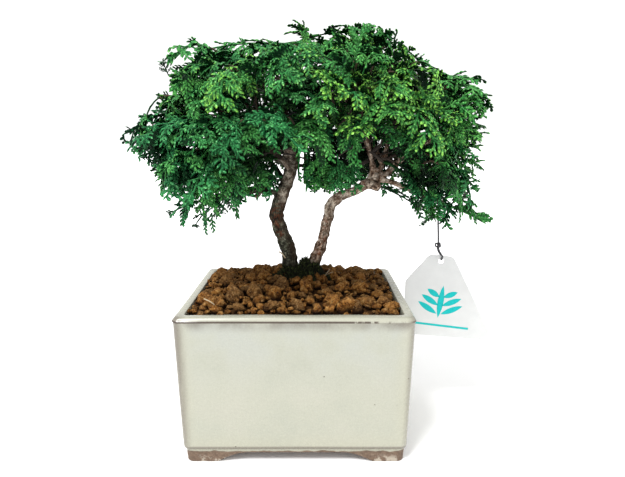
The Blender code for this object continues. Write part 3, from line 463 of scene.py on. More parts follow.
def wood_tubes():
    """The trunks, limbs and stubs as plain tubes."""
    tubes = [tube(LEFT_TRUNK, LEFT_RADII, WOOD_SIDES), tube(RIGHT_TRUNK, RIGHT_RADII, WOOD_SIDES)]
    tubes += [tube(points, limb_radii(points, root, tip), LIMB_SIDES)
              for points, root, tip in LIMBS.values()]
    return tubes + [tube([start, end], [radius * 1.1, radius * 0.8], STUB_SIDES)
                    for start, end, radius in STUBS.values()]


def string_space():
    """Solids round the string, its knot and the tag's top, which the foliage keeps clear of."""
    ring, knot, hole = Vector(HITCH_AT), Vector(KNOT_AT), Vector(TAG_HOLE)
    wide = HITCH_RADIUS + STRING_DIAMETER
    return [tube([ring + Vector((-1.6, 0, 0)), ring + Vector((1.6, 0, 0))], [wide, wide], 8),
            tube([ring, Vector(STRING_ROUTE[4]), knot], [STRING_DIAMETER] * 3, 6),
            tube([knot + Vector((0, 0, 3)), hole - Vector((0, 0, 6))], [4, STRING_CLEARANCE], 8)]


def in_open_space(solid):
    """Whether any point of a solid lies in a space that the sprays leave open."""
    return any(in_boxes(point, OPEN_SPACES) for point in solid[0])


def grow_crown():
    """Twigs and leafy stems, each bent until it is clear of all that was placed before it."""
    rng = random.Random(SEED)
    thicket = Thicket(*wood_tubes(), wood=True)
    thicket.add(*string_space())
    places = [place for points, _, _ in LIMBS.values() for place in places_along(points)]
    stems = []
    for tip, outward in crown_tips():
        best = None
        for attempt in range(TRIES):
            loose = attempt / TRIES
            way = Vector((outward.x, outward.y, WAY_RISE * outward.z + WAY_LIFT))
            way = unit(way + loose * drawn(rng.uniform, -WAY_SPREAD, WAY_SPREAD))
            shift = Vector([rng.uniform(-TWIG_WANDER, TWIG_WANDER) * loose for _ in range(3)])
            sag = sagged(way, TWIG_TURN)
            anchor = tip + shift - STEM_LENGTH * way - FROND_RUN * TERMINAL["length"] * sag
            stem = leafy_stem(anchor, way, outward, rng)
            route = twig_route(places, anchor - JOIN_GAP * way, way)
            stem["twig"] = route
            twig = tube(route, [TWIG_RADIUS + TWIG_CLEARANCE] * 3, TWIG_SIDES, None, way)
            if thicket.crosses(twig, but_wood=True):
                continue
            radii = [STEM_SWELL * radius for radius in stem["radii"]]
            body = tube(stem["route"], radii, TWIG_SIDES, way)
            thick = [TWIG_RADIUS + OWN_TWIG_CLEARANCE] * 3
            own = Thicket(tube(route, thick, TWIG_SIDES, None, way))
            if thicket.crosses(body) or own.crosses(body) or in_open_space(body):
                continue
            kept = []
            for frond in stem["fronds"]:
                blade = frond_blade(frond, CLEARANCE)
                if in_open_space(blade) or thicket.crosses(blade):
                    continue
                if not own.crosses(frond_blade(frond, OWN_CLEARANCE)):
                    kept.append(frond)
                    own.add(frond_blade(frond))
            if stem["fronds"][0] not in kept:
                continue
            if best is None or len(kept) > len(best["fronds"]):
                stem["fronds"] = kept
                best = stem
            if len(best["fronds"]) == 3:
                break
        if best is None:
            continue
        stems.append(best)
        way = best["direction"]
        thicket.add(tube(best["twig"], [TWIG_RADIUS] * 3, TWIG_SIDES, None, way), wood=True)
        thicket.add(tube(best["route"], best["radii"], TWIG_SIDES, way),
                    *[frond_blade(frond) for frond in best["fronds"]])
        places += places_along(best["twig"][:2])
    return stems


def smooth_route(points, steps):
    """Points on a Catmull-Rom curve through the given ones, with steps of them to each stretch."""
    points = [Vector(point) for point in points]
    ends = [2 * points[0] - points[1]] + points + [2 * points[-1] - points[-2]]
    route = []
    for k in range(1, len(ends) - 2):
        before, start, end, after = ends[k - 1:k + 3]
        for step in range(steps):
            t = step / steps
            route.append(0.5 * (2 * start + (end - before) * t
                                + (2 * before - 5 * start + 4 * end - after) * t ** 2
                                + (3 * start - before - 3 * end + after) * t ** 3))
    return route + [points[-1]]


# ---------------------------------------------------------------- where the pot stands in the frame

POT_LOW, POT_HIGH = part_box("pot")
HOME = Vector(((POT_LOW.x + POT_HIGH.x) / 2, (POT_LOW.y + POT_HIGH.y) / 2, POT_LOW.z))


def world(point):
    """A point in millimetres from the middle of the pot's base, in the frame's metres."""
    return HOME + Vector(point) * MM


def placed(name, data):
    """A new object in the scene."""
    made = bpy.data.objects.new(name, data)
    bpy.context.scene.collection.objects.link(made)
    return made


def set_numbers(mesh, numbers):
    """Numbers for a mesh's points, which materials read."""
    for key, values in numbers.items():
        made = mesh.attributes.new(key, "FLOAT", "POINT")
        made.data.foreach_set("value", np.asarray(values, np.float32))


def mesh_piece(name, points, faces, numbers=None, smooth=60):
    """A mesh object from millimetre points. Edges sharper than smooth, in degrees, stay sharp."""
    mesh = bpy.data.meshes.new(name)
    points = np.asarray(points, float).reshape(-1, 3) * MM + np.array(HOME)
    faces = np.asarray(faces, np.int32)
    mesh.vertices.add(len(points))
    mesh.vertices.foreach_set("co", points.astype(np.float32).ravel())
    mesh.loops.add(faces.size)
    mesh.loops.foreach_set("vertex_index", faces.ravel())
    mesh.polygons.add(len(faces))
    mesh.polygons.foreach_set("loop_start", np.arange(0, faces.size, faces.shape[1], dtype=np.int32))
    mesh.update(calc_edges=True)
    set_numbers(mesh, numbers or {})
    mesh.shade_smooth()
    if smooth < 180:
        mesh.set_sharp_from_angle(angle=math.radians(smooth))
    return placed(name, mesh)


def dress(piece, material):
    """Gives a piece or a CAD node its material."""
    piece.data.materials.clear()
    piece.data.materials.append(material)


def finish_piece(piece, slot, material, *replaced):
    """Gives a piece its material, hides what it stands for and puts it on the frame. Its slot is not
    used.
    """
    dress(piece, material)
    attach(piece, "root")
    if replaced:
        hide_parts(*replaced)
    return piece


def applied(piece):
    """Turns what a piece's modifiers make into its own mesh."""
    graph = bpy.context.evaluated_depsgraph_get()
    mesh = bpy.data.meshes.new_from_object(piece.evaluated_get(graph))
    piece.modifiers.clear()
    piece.data = mesh
    return piece


# ---------------------------------------------------------------- materials

# The Mix node's colour sockets by number, as their names are shared with its other kinds.
MIX_FIRST, MIX_SECOND, MIX_RESULT = 6, 7, 2


def socket_name(key):
    """The shader's name for a socket written as a Python name."""
    return key.replace("_", " ").title().replace("Ior", "IOR")


class Paint:
    """A Principled material whose nodes are made by short calls. Lengths are in millimetres."""

    def __init__(self, name, **sockets):
        self.material = bpy.data.materials.new(name)
        self.material.use_nodes = True
        self.tree = self.material.node_tree
        self.shader = self.tree.nodes["Principled BSDF"]
        for key, value in sockets.items():
            self.shader.inputs[socket_name(key)].default_value = value
        self.place = self.tree.nodes.new("ShaderNodeTexCoord").outputs["Object"]

    def put(self, socket, value):
        """Sets a socket to a number or a colour, or links another to it."""
        if isinstance(value, bpy.types.NodeSocket):
            self.tree.links.new(value, socket)
        elif isinstance(value, tuple) and len(value) == 3 and socket.type == "RGBA":
            socket.default_value = (*value, 1)
        else:
            socket.default_value = value

    def node(self, kind, inputs, **settings):
        """A new node's outputs, once its settings and inputs are made."""
        made = self.tree.nodes.new("ShaderNode" + kind)
        for key, value in settings.items():
            setattr(made, key, value)
        for key, value in inputs.items():
            self.put(made.inputs[key], value)
        return made.outputs

    def math(self, operation, first, second=0.0):
        return self.node("Math", {0: first, 1: second}, operation=operation)[0]

    def times(self, first, second):
        return self.math("MULTIPLY", first, second)

    def plus(self, first, second):
        return self.math("ADD", first, second)

    def most(self, first, second):
        return self.math("MAXIMUM", first, second)

    def stretched(self, scale):
        """The piece's coordinates in millimetres, times a scale for each axis."""
        return self.node("Mapping", {"Vector": self.place, "Scale": [k / MM for k in scale]})[0]

    def noise(self, size, detail=3.0, rough=0.55, stretch=(1, 1, 1)):
        """Noise with features of about a size in millimetres, from 0 to 1."""
        place = self.stretched([k / size for k in stretch])
        return self.node("TexNoise", {"Vector": place, "Scale": 1.0, "Detail": detail,
                                      "Roughness": rough})["Fac"]

    def cells(self, size):
        """Distance to the middle of the nearest cell of a size in millimetres."""
        place = self.stretched([1 / size] * 3)
        return self.node("TexVoronoi", {"Vector": place, "Scale": 1.0})["Distance"]

    def number(self, key):
        """A number that set_numbers gave to the mesh."""
        return self.node("Attribute", {}, attribute_name=key)["Fac"]

    def axis(self, letter):
        """How far the point lies along an axis, in millimetres from the pot's middle."""
        place = self.node("SeparateXYZ", {0: self.place})[letter]
        return self.times(self.math("SUBTRACT", place, HOME["XYZ".index(letter)]), 1 / MM)

    def between(self, value, low, high, from_zero=True):
        """0 below low and 1 above high, or the other way round."""
        ends = {"From Min": low, "From Max": high, "To Min": 1 - from_zero, "To Max": 0 + from_zero}
        return self.node("MapRange", {"Value": value, **ends},
                         interpolation_type="SMOOTHSTEP")["Result"]

    def mix(self, share, first, second):
        return self.node("Mix", {"Factor": share, MIX_FIRST: first, MIX_SECOND: second},
                         data_type="RGBA")[MIX_RESULT]

    def over(self, body, colour, share, strength):
        """A colour laid over another, where a share says and as strongly as given."""
        return self.mix(self.times(share, strength), body, colour)

    def ramp(self, value, *stops):
        """A colour from stops of (place, colour)."""
        node = self.tree.nodes.new("ShaderNodeValToRGB")
        self.put(node.inputs[0], value)
        slots = node.color_ramp.elements
        while len(slots) < len(stops):
            slots.new(0.5)
        for slot, (place, colour) in zip(slots, stops):
            slot.position, slot.color = place, (*colour, 1)
        return node.outputs[0]

    def bump(self, height, depth, below=None):
        """Bumps of a depth in millimetres, on top of others."""
        inputs = {"Strength": 1.0, "Distance": depth * MM, "Height": height}
        return self.node("Bump", {**inputs, "Normal": below} if below else inputs)[0]

    def set(self, **sockets):
        for key, value in sockets.items():
            self.put(self.shader.inputs[socket_name(key)], value)
        return self.material

    def coat(self, colour, height, depth):
        """The material, of this colour and with these bumps."""
        return self.set(base_color=colour, normal=self.bump(height, depth))


# ---------------------------------------------------------------- camera, floor and light

CAMERA_AT = (11.5, -352.1, 213.1)
CAMERA_PITCH = 11.715           # degrees below level
SENSOR = 36.0
LENS = 28.806
SKY_STRENGTH = 1.2
KEY_STRENGTH, KEY_SPREAD = 2.6, 16      # its spread in degrees
KEY_FROM = (-0.35, -0.45, 0.85)
FLOOR_REACH, FLOOR_GAP = 9000, 0.2


def make_camera():
    bpy.context.scene.view_settings.view_transform = "Standard"
    camera = bpy.data.cameras.new("camera")
    camera.sensor_width, camera.lens = SENSOR, LENS
    camera.clip_start, camera.clip_end = 0.01, 20
    made = placed("camera", camera)
    made.location = world(CAMERA_AT)
    made.rotation_euler = (math.radians(90 - CAMERA_PITCH), 0, 0)
    bpy.context.scene.camera = made


def make_key():
    """One broad soft light from above the camera's left, far enough off to light evenly."""
    lamp = bpy.data.lights.new("key", "SUN")
    lamp.energy, lamp.angle = KEY_STRENGTH, math.radians(KEY_SPREAD)
    placed("key", lamp).rotation_euler = Vector(KEY_FROM).to_track_quat("Z", "Y").to_euler()


def make_studio():
    """A pale floor under a pale surrounding, and the key light."""
    corners = [(FLOOR_REACH * x, FLOOR_REACH * y, -FLOOR_GAP)
               for x, y in ((-1, -1), (1, -1), (1, 1), (-1, 1))]
    floor = mesh_piece("floor", corners, [(0, 1, 2, 3)])
    paint = Paint("pale_floor", roughness=0.95, specular_ior_level=0.0)
    colour = paint.ramp(paint.noise(40, 2), (0.0, (0.94, 0.94, 0.94)), (1.0, (0.97, 0.97, 0.97)))
    dress(floor, paint.set(base_color=colour))
    sky = bpy.data.worlds.new("studio")
    sky.use_nodes = True
    back = sky.node_tree.nodes["Background"]
    back.inputs["Color"].default_value = (1, 1, 1, 1)
    back.inputs["Strength"].default_value = SKY_STRENGTH
    bpy.context.scene.world = sky
    make_key()


# ---------------------------------------------------------------- tag and string

STRING_LOW = 1.5            # the loop's far end lies this far inside the knot
LOOP_STEPS = 12
RING_STEPS, KNOT_STEPS = 24, 64
RING_TURNS = (-0.7, 0.6)    # the ring's two turns, along the limb
RING_THICK, KNOT_THICK = 0.46, 0.42     # radius of their strands over the string's diameter


def tag_frame():
    """Places the flat tag: its hole at the origin, its face to the front, then tilted."""
    return Matrix.Translation(Vector(TAG_HOLE)) @ Matrix.Rotation(math.radians(TAG_TILT), 4, "Y")


def string_route():
    """From the ring on the limb down to the knot, through the tag's hole and back into the knot."""
    knot, hole = Vector(KNOT_AT), Vector(TAG_HOLE)
    low = hole.z + TAG_HOLE_RADIUS - STRING_DIAMETER / 2 - JOIN_GAP
    high = knot.z - KNOT_RADIUS - JOIN_GAP
    middle = Vector((hole.x, 0, low + LOOP_BEND))
    arc = [middle + LOOP_BEND * Vector((0, math.sin(a), -math.cos(a)))
           for a in [math.pi * k / LOOP_STEPS - math.pi / 2 for k in range(LOOP_STEPS + 1)]]
    down = [Vector((knot.x, -1.0, high)), Vector((knot.x + 0.7, -2.0, high - 2.0))]
    back = [Vector((point.x, -point.y, point.z)) for point in reversed(down)]
    start = [Vector(point) for point in STRING_ROUTE]
    inside = [Vector((knot.x, -0.4, knot.z))]
    end = [Vector((knot.x, 1.2, knot.z - STRING_LOW))]
    return start + inside + down + arc + back + end


def length_of(route):
    return sum((b - a).length for a, b in zip(route, route[1:]))


def twine_paint(name):
    """Dark waxed thread with a slanting twist."""
    paint = Paint(name, roughness=0.7)
    twist = paint.node("TexWave", {"Vector": paint.stretched((1, 1, 0.8)), "Scale": 0.55,
                                   "Distortion": 0.6}, bands_direction="DIAGONAL")["Fac"]
    strands = paint.plus(paint.times(twist, 0.75), paint.times(paint.noise(0.25, 4), 0.4))
    colour = paint.ramp(strands, (0.1, (0.012, 0.012, 0.014)), (1.0, (0.085, 0.085, 0.095)))
    return paint.coat(colour, strands, 0.16)


def make_string():
    """The string as one curve, with its knot, the ring round the limb and the tag on it."""
    route = string_route()
    curve = bpy.data.curves.new("tag_twine", "CURVE")
    curve.dimensions = "3D"
    curve.bevel_depth = STRING_DIAMETER / 2 * MM
    curve.bevel_resolution = 4
    curve.use_fill_caps = True
    spline = curve.splines.new("POLY")
    spline.points.add(len(route) - 1)
    for slot, point in zip(spline.points, route):
        slot.co = (*world(point), 1)
    string = placed("tag_twine", curve)
    finish_piece(string, "twine", twine_paint("twine"), "tag_string", "tag_loop")

    way = unit(HITCH_WAY)
    up = square_to(UP, way)
    turns = [[round_point(Vector(HITCH_AT) + wind * way, HITCH_RADIUS, up, way.cross(up), angle)
              for angle in circle(RING_STEPS)] for wind in RING_TURNS]
    rings = [ring_tube(turn, RING_THICK * STRING_DIAMETER) for turn in turns]
    hitch = mesh_piece("limb_hitch", *joined(rings))
    finish_piece(hitch, "twine", twine_paint("hitch_twine"), "string_hitch")

    knot = make_knot()
    finish_piece(knot, "twine", twine_paint("knot_twine"), "tag_knot")
    tag, art = make_tag()
    world(STRING_ROUTE[0])
    length_of(route) * MM


def joined(parts):
    """Several (points, faces) as one."""
    points, faces, start = [], [], 0
    for solid in parts:
        points += [tuple(point) for point in solid[0]]
        faces += [tuple(start + k for k in face) for face in solid[1]]
        start = len(points)
    return points, faces


def ring_tube(route, radius, sides=8):
    """A closed ring of a tube along a closed route, in triangles."""
    count = len(route)
    middle = sum(route, Vector()) / count
    points, faces = [], []
    for k, centre in enumerate(route):
        way = unit(route[(k + 1) % count] - route[k - 1])
        out = square_to(centre - middle, way)
        points += [round_point(centre, radius, out, way.cross(out), angle) for angle in circle(sides)]
    for k in range(count):
        for j in range(sides):
            a, b = k * sides + j, k * sides + (j + 1) % sides
            c, d = (k + 1) % count * sides + (j + 1) % sides, (k + 1) % count * sides + j
            faces += [(a, c, b), (a, d, c)]
    return points, faces


def make_knot():
    """An overhand knot: a short thick winding of the string about itself."""
    thick = STRING_DIAMETER * KNOT_THICK
    swell = KNOT_RADIUS - thick
    route = [Vector(KNOT_AT) + Vector((0.62 * swell * (math.sin(a) + 1.1 * math.sin(2 * a)),
                                       0.62 * swell * (math.cos(a) - 1.1 * math.cos(2 * a)),
                                       -0.9 * swell * math.sin(3 * a))) for a in circle(KNOT_STEPS)]
    return mesh_piece("tag_knot_turns", *ring_tube(route, thick))


# The print, in the tag's own plane from its hole: a sprig of seven leaves over a bar.
SPRIG_FOOT, SPRIG_TALL = (5.0, -43.0), 25
SPRIG_PAIRS = [(0.12, 17), (0.38, 15), (0.64, 11)]      # share of its height, and the leaf's length
SPRIG_LEAN = 62             # degrees off the upright
BAR_UNDER_SPRIG = (-16, 29, -49.6, -48.0)      # left, right, low, high
ART_LIFT = 0.02             # how far the print stands off the tag's face
ART_THICK = 0.05
LEAF_STEPS = 8


def flat_shape(name, outlines, place, low, high):
    """Flat shapes with thickness from outlines of (x, z) points on the tag's plane."""
    grid = bmesh.new()
    for outline in outlines:
        front = [grid.verts.new(place @ Vector((x, low, z))) for x, z in outline]
        back = [grid.verts.new(place @ Vector((x, high, z))) for x, z in outline]
        grid.faces.new(front)
        grid.faces.new(reversed(back))
        for k in range(len(outline)):
            j = (k + 1) % len(outline)
            grid.faces.new((front[j], front[k], back[k], back[j]))
    bmesh.ops.recalc_face_normals(grid, faces=grid.faces)
    bmesh.ops.triangulate(grid, faces=grid.faces)
    grid.verts.index_update()
    points = [tuple(vert.co) for vert in grid.verts]
    faces = [tuple(vert.index for vert in face.verts) for face in grid.faces]
    grid.free()
    return mesh_piece(name, points, faces, smooth=30)


def leaf_outline(x, z, angle, length, width):
    """A pointed leaf from its foot, at an angle in degrees from the upright."""
    half = [(width / 2 * math.sin(math.pi * k / LEAF_STEPS) ** 0.8, length * k / LEAF_STEPS)
            for k in range(LEAF_STEPS + 1)]
    shape = half + [(-a, b) for a, b in reversed(half[1:-1])]
    c, s = math.cos(math.radians(angle)), math.sin(math.radians(angle))
    return [(x + a * c + b * s, z - a * s + b * c) for a, b in shape]


def make_tag():
    """The white plastic tag's finish, and a made-up print of leaves over a bar on its face."""
    paint = Paint("tag_plastic", roughness=0.4)
    cloud, scuff = paint.noise(9, 2), paint.noise(0.7, 5, 0.7)
    colour = paint.ramp(cloud, (0.3, (0.600, 0.607, 0.602)), (0.7, (0.640, 0.647, 0.640)))
    rough = paint.plus(paint.times(paint.between(scuff, 0.2, 0.9), 0.2), 0.3)
    tag = frame["nodes"]["tag"]
    dress(tag, paint.set(base_color=colour, roughness=rough, normal=paint.bump(scuff, 0.02)))
    face = -TAG_THICK / 2 - ART_LIFT
    outlines = [leaf_outline(*SPRIG_FOOT, 0, SPRIG_TALL, 4.6)]
    for share, long in SPRIG_PAIRS:
        height = SPRIG_FOOT[1] + share * SPRIG_TALL
        outlines += [leaf_outline(SPRIG_FOOT[0] + 1.5 * hand, height, SPRIG_LEAN * hand, long, 4.2)
                     for hand in (-1, 1)]
    left, right, low, high = BAR_UNDER_SPRIG
    outlines.append([(left, low), (right, low), (right, high), (left, high)])
    art = flat_shape("tag_print", outlines, tag_frame(), face - ART_THICK, face)
    ink = Paint("tag_ink", roughness=0.6, specular_ior_level=0.2)
    worn = ink.noise(1.1, 5, 0.7)
    colour = ink.ramp(worn, (0.32, (0.008, 0.50, 0.49)), (0.62, (0.003, 0.42, 0.42)))
    finish_piece(art, "tag_print", ink.coat(colour, worn, 0.01))
    return tag, art


# ---------------------------------------------------------------- pot

POT_LENGTH, POT_WIDTH, POT_HEIGHT = 153.4, 120, 102.4
RIM_EDGE = 99.6             # height of the rim's outer edge
BODY_BOTTOM = 9.5
WALL_TAPER = 2.2
UNDER_INSET = WALL_TAPER + 14.6     # from the rim's edge to the hollow between the feet
ARCH_RISE = 7.0
ARCH_FOOT_X, ARCH_TOP_X = 52, 31
ARCH_FOOT_Y, ARCH_TOP_Y = 38, 20
ARCH_STEPS = 14
DRAIN_RADIUS = 11
DRAIN_STEPS = 48
CORNER_STEPS = 10
SIDE_STEPS = 8
POT_WOBBLE = 0.3            # unevenness of the hand-made walls, drawn in more than out
RIM_WOBBLE = 0.35
# The wall's section, up the outside and down the inside, each ring as (inset from the rim's edge,
# height, corner radius).
POT_SECTION = [(4.4, 0, 5), (4.2, 0.35, 5), (3.8, 8.7, 5), (3.1, 9.5, 5), (2.45, 10.3, 5),
               (2.2, 12, 5), (2.0, 20, 5), (1.3, 50, 5), (0.6, 85, 5), (0.37, 96.6, 5),
               (0.32, 98.3, 4.6), (0.05, 99.2, 4), (0.0, 99.6, 4), (0.15, 100.1, 4),
               (0.75, 101.1, 4), (1.3, 101.8, 4), (1.9, 102.2, 4), (2.5, 102.4, 4),
               (4.2, 102.4, 3.6), (6.0, 102.4, 3), (6.6, 102.15, 3), (6.95, 101.5, 3),
               (7.1, 99.6, 3), (7.3, 95, 3), (9.2, 17, 3)]


def rounded_rectangle(half_x, half_y, radius, corner_steps, side_steps):
    """The outline of a rectangle with round corners, anticlockwise seen from above."""
    outline = []
    for corner in range(4):
        centre_x = (half_x - radius) * (1 if corner in (0, 3) else -1)
        centre_y = (half_y - radius) * (1 if corner in (0, 1) else -1)
        for step in range(corner_steps + 1):
            angle = math.pi / 2 * (corner + step / corner_steps)
            outline.append((centre_x + radius * math.cos(angle), centre_y + radius * math.sin(angle)))
    full = []
    for k, point in enumerate(outline):
        full.append(point)
        after = outline[(k + 1) % len(outline)]
        if (k + 1) % (corner_steps + 1) == 0:
            full += [tuple(Vector(point).lerp(Vector(after), step / side_steps))
                     for step in range(1, side_steps)]
    return full


def solid_object(name, rings):
    """A closed solid through rings of as many points each, with a cap at each end."""
    count, last = len(rings[0]), len(rings) - 1
    faces = []
    for start in range(0, count * last, count):
        for k in range(count):
            a, b = start + k, start + (k + 1) % count
            faces.append((a, b, b + count, a + count))
    faces += [tuple(range(count - 1, -1, -1)), tuple(range(last * count, (last + 1) * count))]
    mesh = bpy.data.meshes.new(name)
    mesh.from_pydata([world(point) for ring in rings for point in ring], [], faces)
    return placed(name, mesh)


def arch_cutter(name, foot, top, along):
    """The opening between two feet, running out through both sides along an axis."""
    steps = range(1, ARCH_STEPS + 1)
    right = [(foot + (top - foot) * k / ARCH_STEPS,
              ARCH_RISE * math.sin(math.pi / 2 * k / ARCH_STEPS)) for k in steps]
    profile = [(-foot, -1), (foot, -1), (foot, 0)] + right + [(-x, z) for x, z in reversed(right)]
    profile.append((-foot, 0))
    far = POT_LENGTH
    if along == "Y":
        return solid_object(name, [[(a, y, z) for a, z in profile] for y in (far, -far)])
    return solid_object(name, [[(x, a, z) for a, z in profile] for x in (-far, far)])


def glaze_paint():
    """Cream glaze that thins to brown at its edges, with painted shade under the rim, over brown clay
    that shows on the feet.
    """
    paint = Paint("cream_glaze")
    between, noise_of, times, most = paint.between, paint.noise, paint.times, paint.most
    height, across = paint.axis("Z"), paint.axis("X")
    inset_x, inset_y = [paint.math("SUBTRACT", size / 2, paint.math("ABSOLUTE", place))
                        for size, place in ((POT_LENGTH, across), (POT_WIDTH, paint.axis("Y")))]
    inset = paint.math("MINIMUM", inset_x, inset_y)
    cloud, grain = noise_of(30, 4, 0.6), noise_of(2.2, 5, 0.65)
    body = paint.ramp(cloud, (0.25, (0.352, 0.360, 0.298)), (0.5, (0.382, 0.384, 0.314)),
                      (0.8, (0.402, 0.397, 0.330)))
    # Cooler where the glaze lies thick in the upper half, and creamier at the foot and the edges.
    cool = times(between(height, 45, 92), between(cloud, 0.3, 0.62))
    body = paint.over(body, (0.362, 0.380, 0.350), cool, 0.6)
    cream = most(between(height, 9, 26, False), between(inset_x, 3, 15, False))
    body = paint.over(body, (0.405, 0.392, 0.300), cream, 0.5)
    body = paint.over(body, (0.355, 0.350, 0.285), between(grain, 0.52, 0.82), 0.3)
    body = paint.over(body, (0.395, 0.388, 0.308), between(height, 97.0, 99.8), 0.75)
    # Browner and greyer where the glaze runs thin at the upright corners and at the foot, with painted
    # shade under the rim.
    right = times(between(across, -30, 40), 3.0)
    corner = times(between(paint.plus(inset_x, right), 2.2, 10.5, False),
                   between(inset_y, 2.2, 12.0, False))
    thin = times(corner, between(noise_of(5, 4, 0.6, (1, 1, 0.12)), 0.08, 0.52))
    # Painted shade in a band under the rim.
    below = times(between(height, 91.0, 98.2), between(height, 98.8, 99.3, False))
    below = times(below, between(noise_of(16, 4, 0.6, (1, 1, 0.6)), 0.2, 0.7))
    foot = times(between(height, 9.6, 10.2), between(height, 11.2, 12.8, False))
    thin = most(most(thin, times(below, 0.85)), times(foot, 0.9))
    body = paint.over(body, (0.140, 0.120, 0.096), thin, 0.88)
    # The thin brown line on the rim's outer edge, broken towards the right.
    line = times(between(height, 98.45, 98.85), between(height, 99.75, 100.2, False))
    worn = times(between(across, 12, 70), 0.30)
    kept = between(paint.plus(noise_of(4.2, 3, 0.6, (1, 1, 0.3)), worn), 0.66, 0.78, False)
    line = times(times(line, between(inset, 2.1, 2.7, False)), most(kept, corner))
    body = paint.over(body, (0.050, 0.030, 0.020), line, 0.95)
    # Iron specks.
    specks = between(paint.cells(9), 0.035, 0.055, False)
    body = paint.over(body, (0.06, 0.045, 0.03), specks, between(noise_of(19, 1), 0.56, 0.6))
    # Bare clay below a wavy edge of glaze, with smears of white on the feet.
    wave = times(noise_of(9, 3, 0.5, (1, 1, 0.0)), 3.4)
    bare = between(paint.plus(height, wave), 9.3, 10.0, False)
    clay = paint.ramp(noise_of(1.6, 6, 0.7), (0.25, (0.07, 0.045, 0.03)), (0.55, (0.16, 0.105, 0.07)),
                      (0.85, (0.27, 0.20, 0.145)))
    smear = times(between(noise_of(8, 4, 0.7), 0.52, 0.6), 0.8)
    clay = paint.over(clay, (0.50, 0.44, 0.36), smear, between(height, 1.5, 6.5, False))
    inner = times(between(inset, 9, 13), between(height, 10, 30, False))
    bare = most(bare, inner)
    rough = paint.plus(paint.plus(times(bare, 0.55), times(grain, 0.22)), 0.16)
    wavy = paint.bump(noise_of(9, 2), 0.12)
    pits = paint.bump(between(paint.cells(1.7), 0.02, 0.16), 0.03, wavy)
    sandy = times(noise_of(0.5, 3, 0.7), bare)
    return paint.set(base_color=paint.mix(bare, body, clay), roughness=rough,
                     normal=paint.bump(sandy, 0.25, pits))


def make_pot():
    """The pot with its soft rim, gently uneven walls, four feet and drain hole."""
    rings = []
    for inset, height, radius in POT_SECTION:
        outline = rounded_rectangle(POT_LENGTH / 2 - inset, POT_WIDTH / 2 - inset, radius,
                                    CORNER_STEPS, SIDE_STEPS)
        ring = []
        for x, y in outline:
            sway = noise.noise(Vector((x, y, 0.7 * height)) / 45)
            pull = POT_WOBBLE * (sway - 0.7) * (height > BODY_BOTTOM)
            drop = RIM_WOBBLE * (noise.noise(Vector((x, y, 3)) / 34) - 0.6) * (height > RIM_EDGE)
            out = Vector((x, y)).normalized()
            ring.append((x + pull * out.x, y + pull * out.y, height + min(drop, 0)))
        rings.append(ring)
    pot = solid_object("glazed_pot", rings)
    hollow = rounded_rectangle(POT_LENGTH / 2 - UNDER_INSET, POT_WIDTH / 2 - UNDER_INSET, 3.0, 6, 1)
    drain = [(DRAIN_RADIUS * math.cos(angle), DRAIN_RADIUS * math.sin(angle))
             for angle in circle(DRAIN_STEPS)]
    cutters = [
        solid_object("hollow_cutter", [[(x, y, z) for x, y in hollow] for z in (-1, ARCH_RISE + 1)]),
        arch_cutter("arch_x_cutter", ARCH_FOOT_Y, ARCH_TOP_Y, "X"),
        arch_cutter("arch_y_cutter", ARCH_FOOT_X, ARCH_TOP_X, "Y"),
        solid_object("drain_cutter", [[(x, y, z) for x, y in drain] for z in (1, 30)]),
    ]
    for cutter in cutters:
        boolean = pot.modifiers.new(cutter.name, "BOOLEAN")
        boolean.operation, boolean.solver, boolean.object = "DIFFERENCE", "EXACT", cutter
    applied(pot)
    for cutter in cutters:
        bpy.data.objects.remove(cutter)
    pot.data.shade_smooth()
    pot.data.set_sharp_from_angle(angle=math.radians(38))
    finish_piece(pot, "glaze", glaze_paint(), "pot")
    screen = Paint("screen_plastic", roughness=0.6)
    speckle = screen.noise(0.8, 4)
    colour = screen.ramp(speckle, (0.3, (0.02, 0.02, 0.02)), (0.8, (0.05, 0.05, 0.048)))
    dress(frame["nodes"]["drain_screen"], screen.coat(colour, speckle, 0.05))


# ---------------------------------------------------------------- gravel and moss

FLOOR_TOP = 17.0
SOIL_EDGE = 99.0
SOIL_RISE = 10.5
MOUND_REACH = (68, 53)
SOIL_CELLS = (46, 36)
SOIL_HALF = (POT_LENGTH / 2 - 7.6, POT_WIDTH / 2 - 7.6)     # of the ground inside the pot's wall
PLANT_BASES = [(1, 6, 7.5), (5, 6, 6.0)]
# Layers of stones: how many, smallest and largest radius, height over the soil, faces of the ball.
STONE_LAYERS = [(300, 2.3, 3.9, 0.0, 2), (46, 5.0, 7.2, 1.6, 4), (110, 3.2, 5.2, 2.2, 3),
                (240, 1.2, 2.3, 3.0, 2)]
STONE_SEED, STONE_SHAPES_SEED = 12, 40
STONE_SHAPES = 9            # in each layer
STONE_CUTS = 9              # flat faces that a shape is cut with
STONES_APART = 0.80         # share of their radii that two stones of a layer keep apart
PLANT_APART = 0.9
HIGHEST_STONE = POT_HEIGHT + 16.5       # what stands over it is pressed down
STONE_STRETCH = [(0.95, 1.25), (0.85, 1.1), (0.72, 1.0)]    # along the stone's own axes


def soil_height(x, y):
    """The gravel's surface: level at the walls, mounded where the trunks stand."""
    across = max(0.0, 1 - (x / MOUND_REACH[0]) ** 2) * max(0.0, 1 - (y / MOUND_REACH[1]) ** 2)
    return SOIL_EDGE + SOIL_RISE * across ** 0.8


def ball(level):
    """Points and triangles of a ball of radius 1."""
    grid = bmesh.new()
    bmesh.ops.create_icosphere(grid, subdivisions=level, radius=1.0)
    points = np.array([vert.co for vert in grid.verts])
    faces = np.array([[vert.index for vert in face.verts] for face in grid.faces])
    grid.free()
    return points, faces


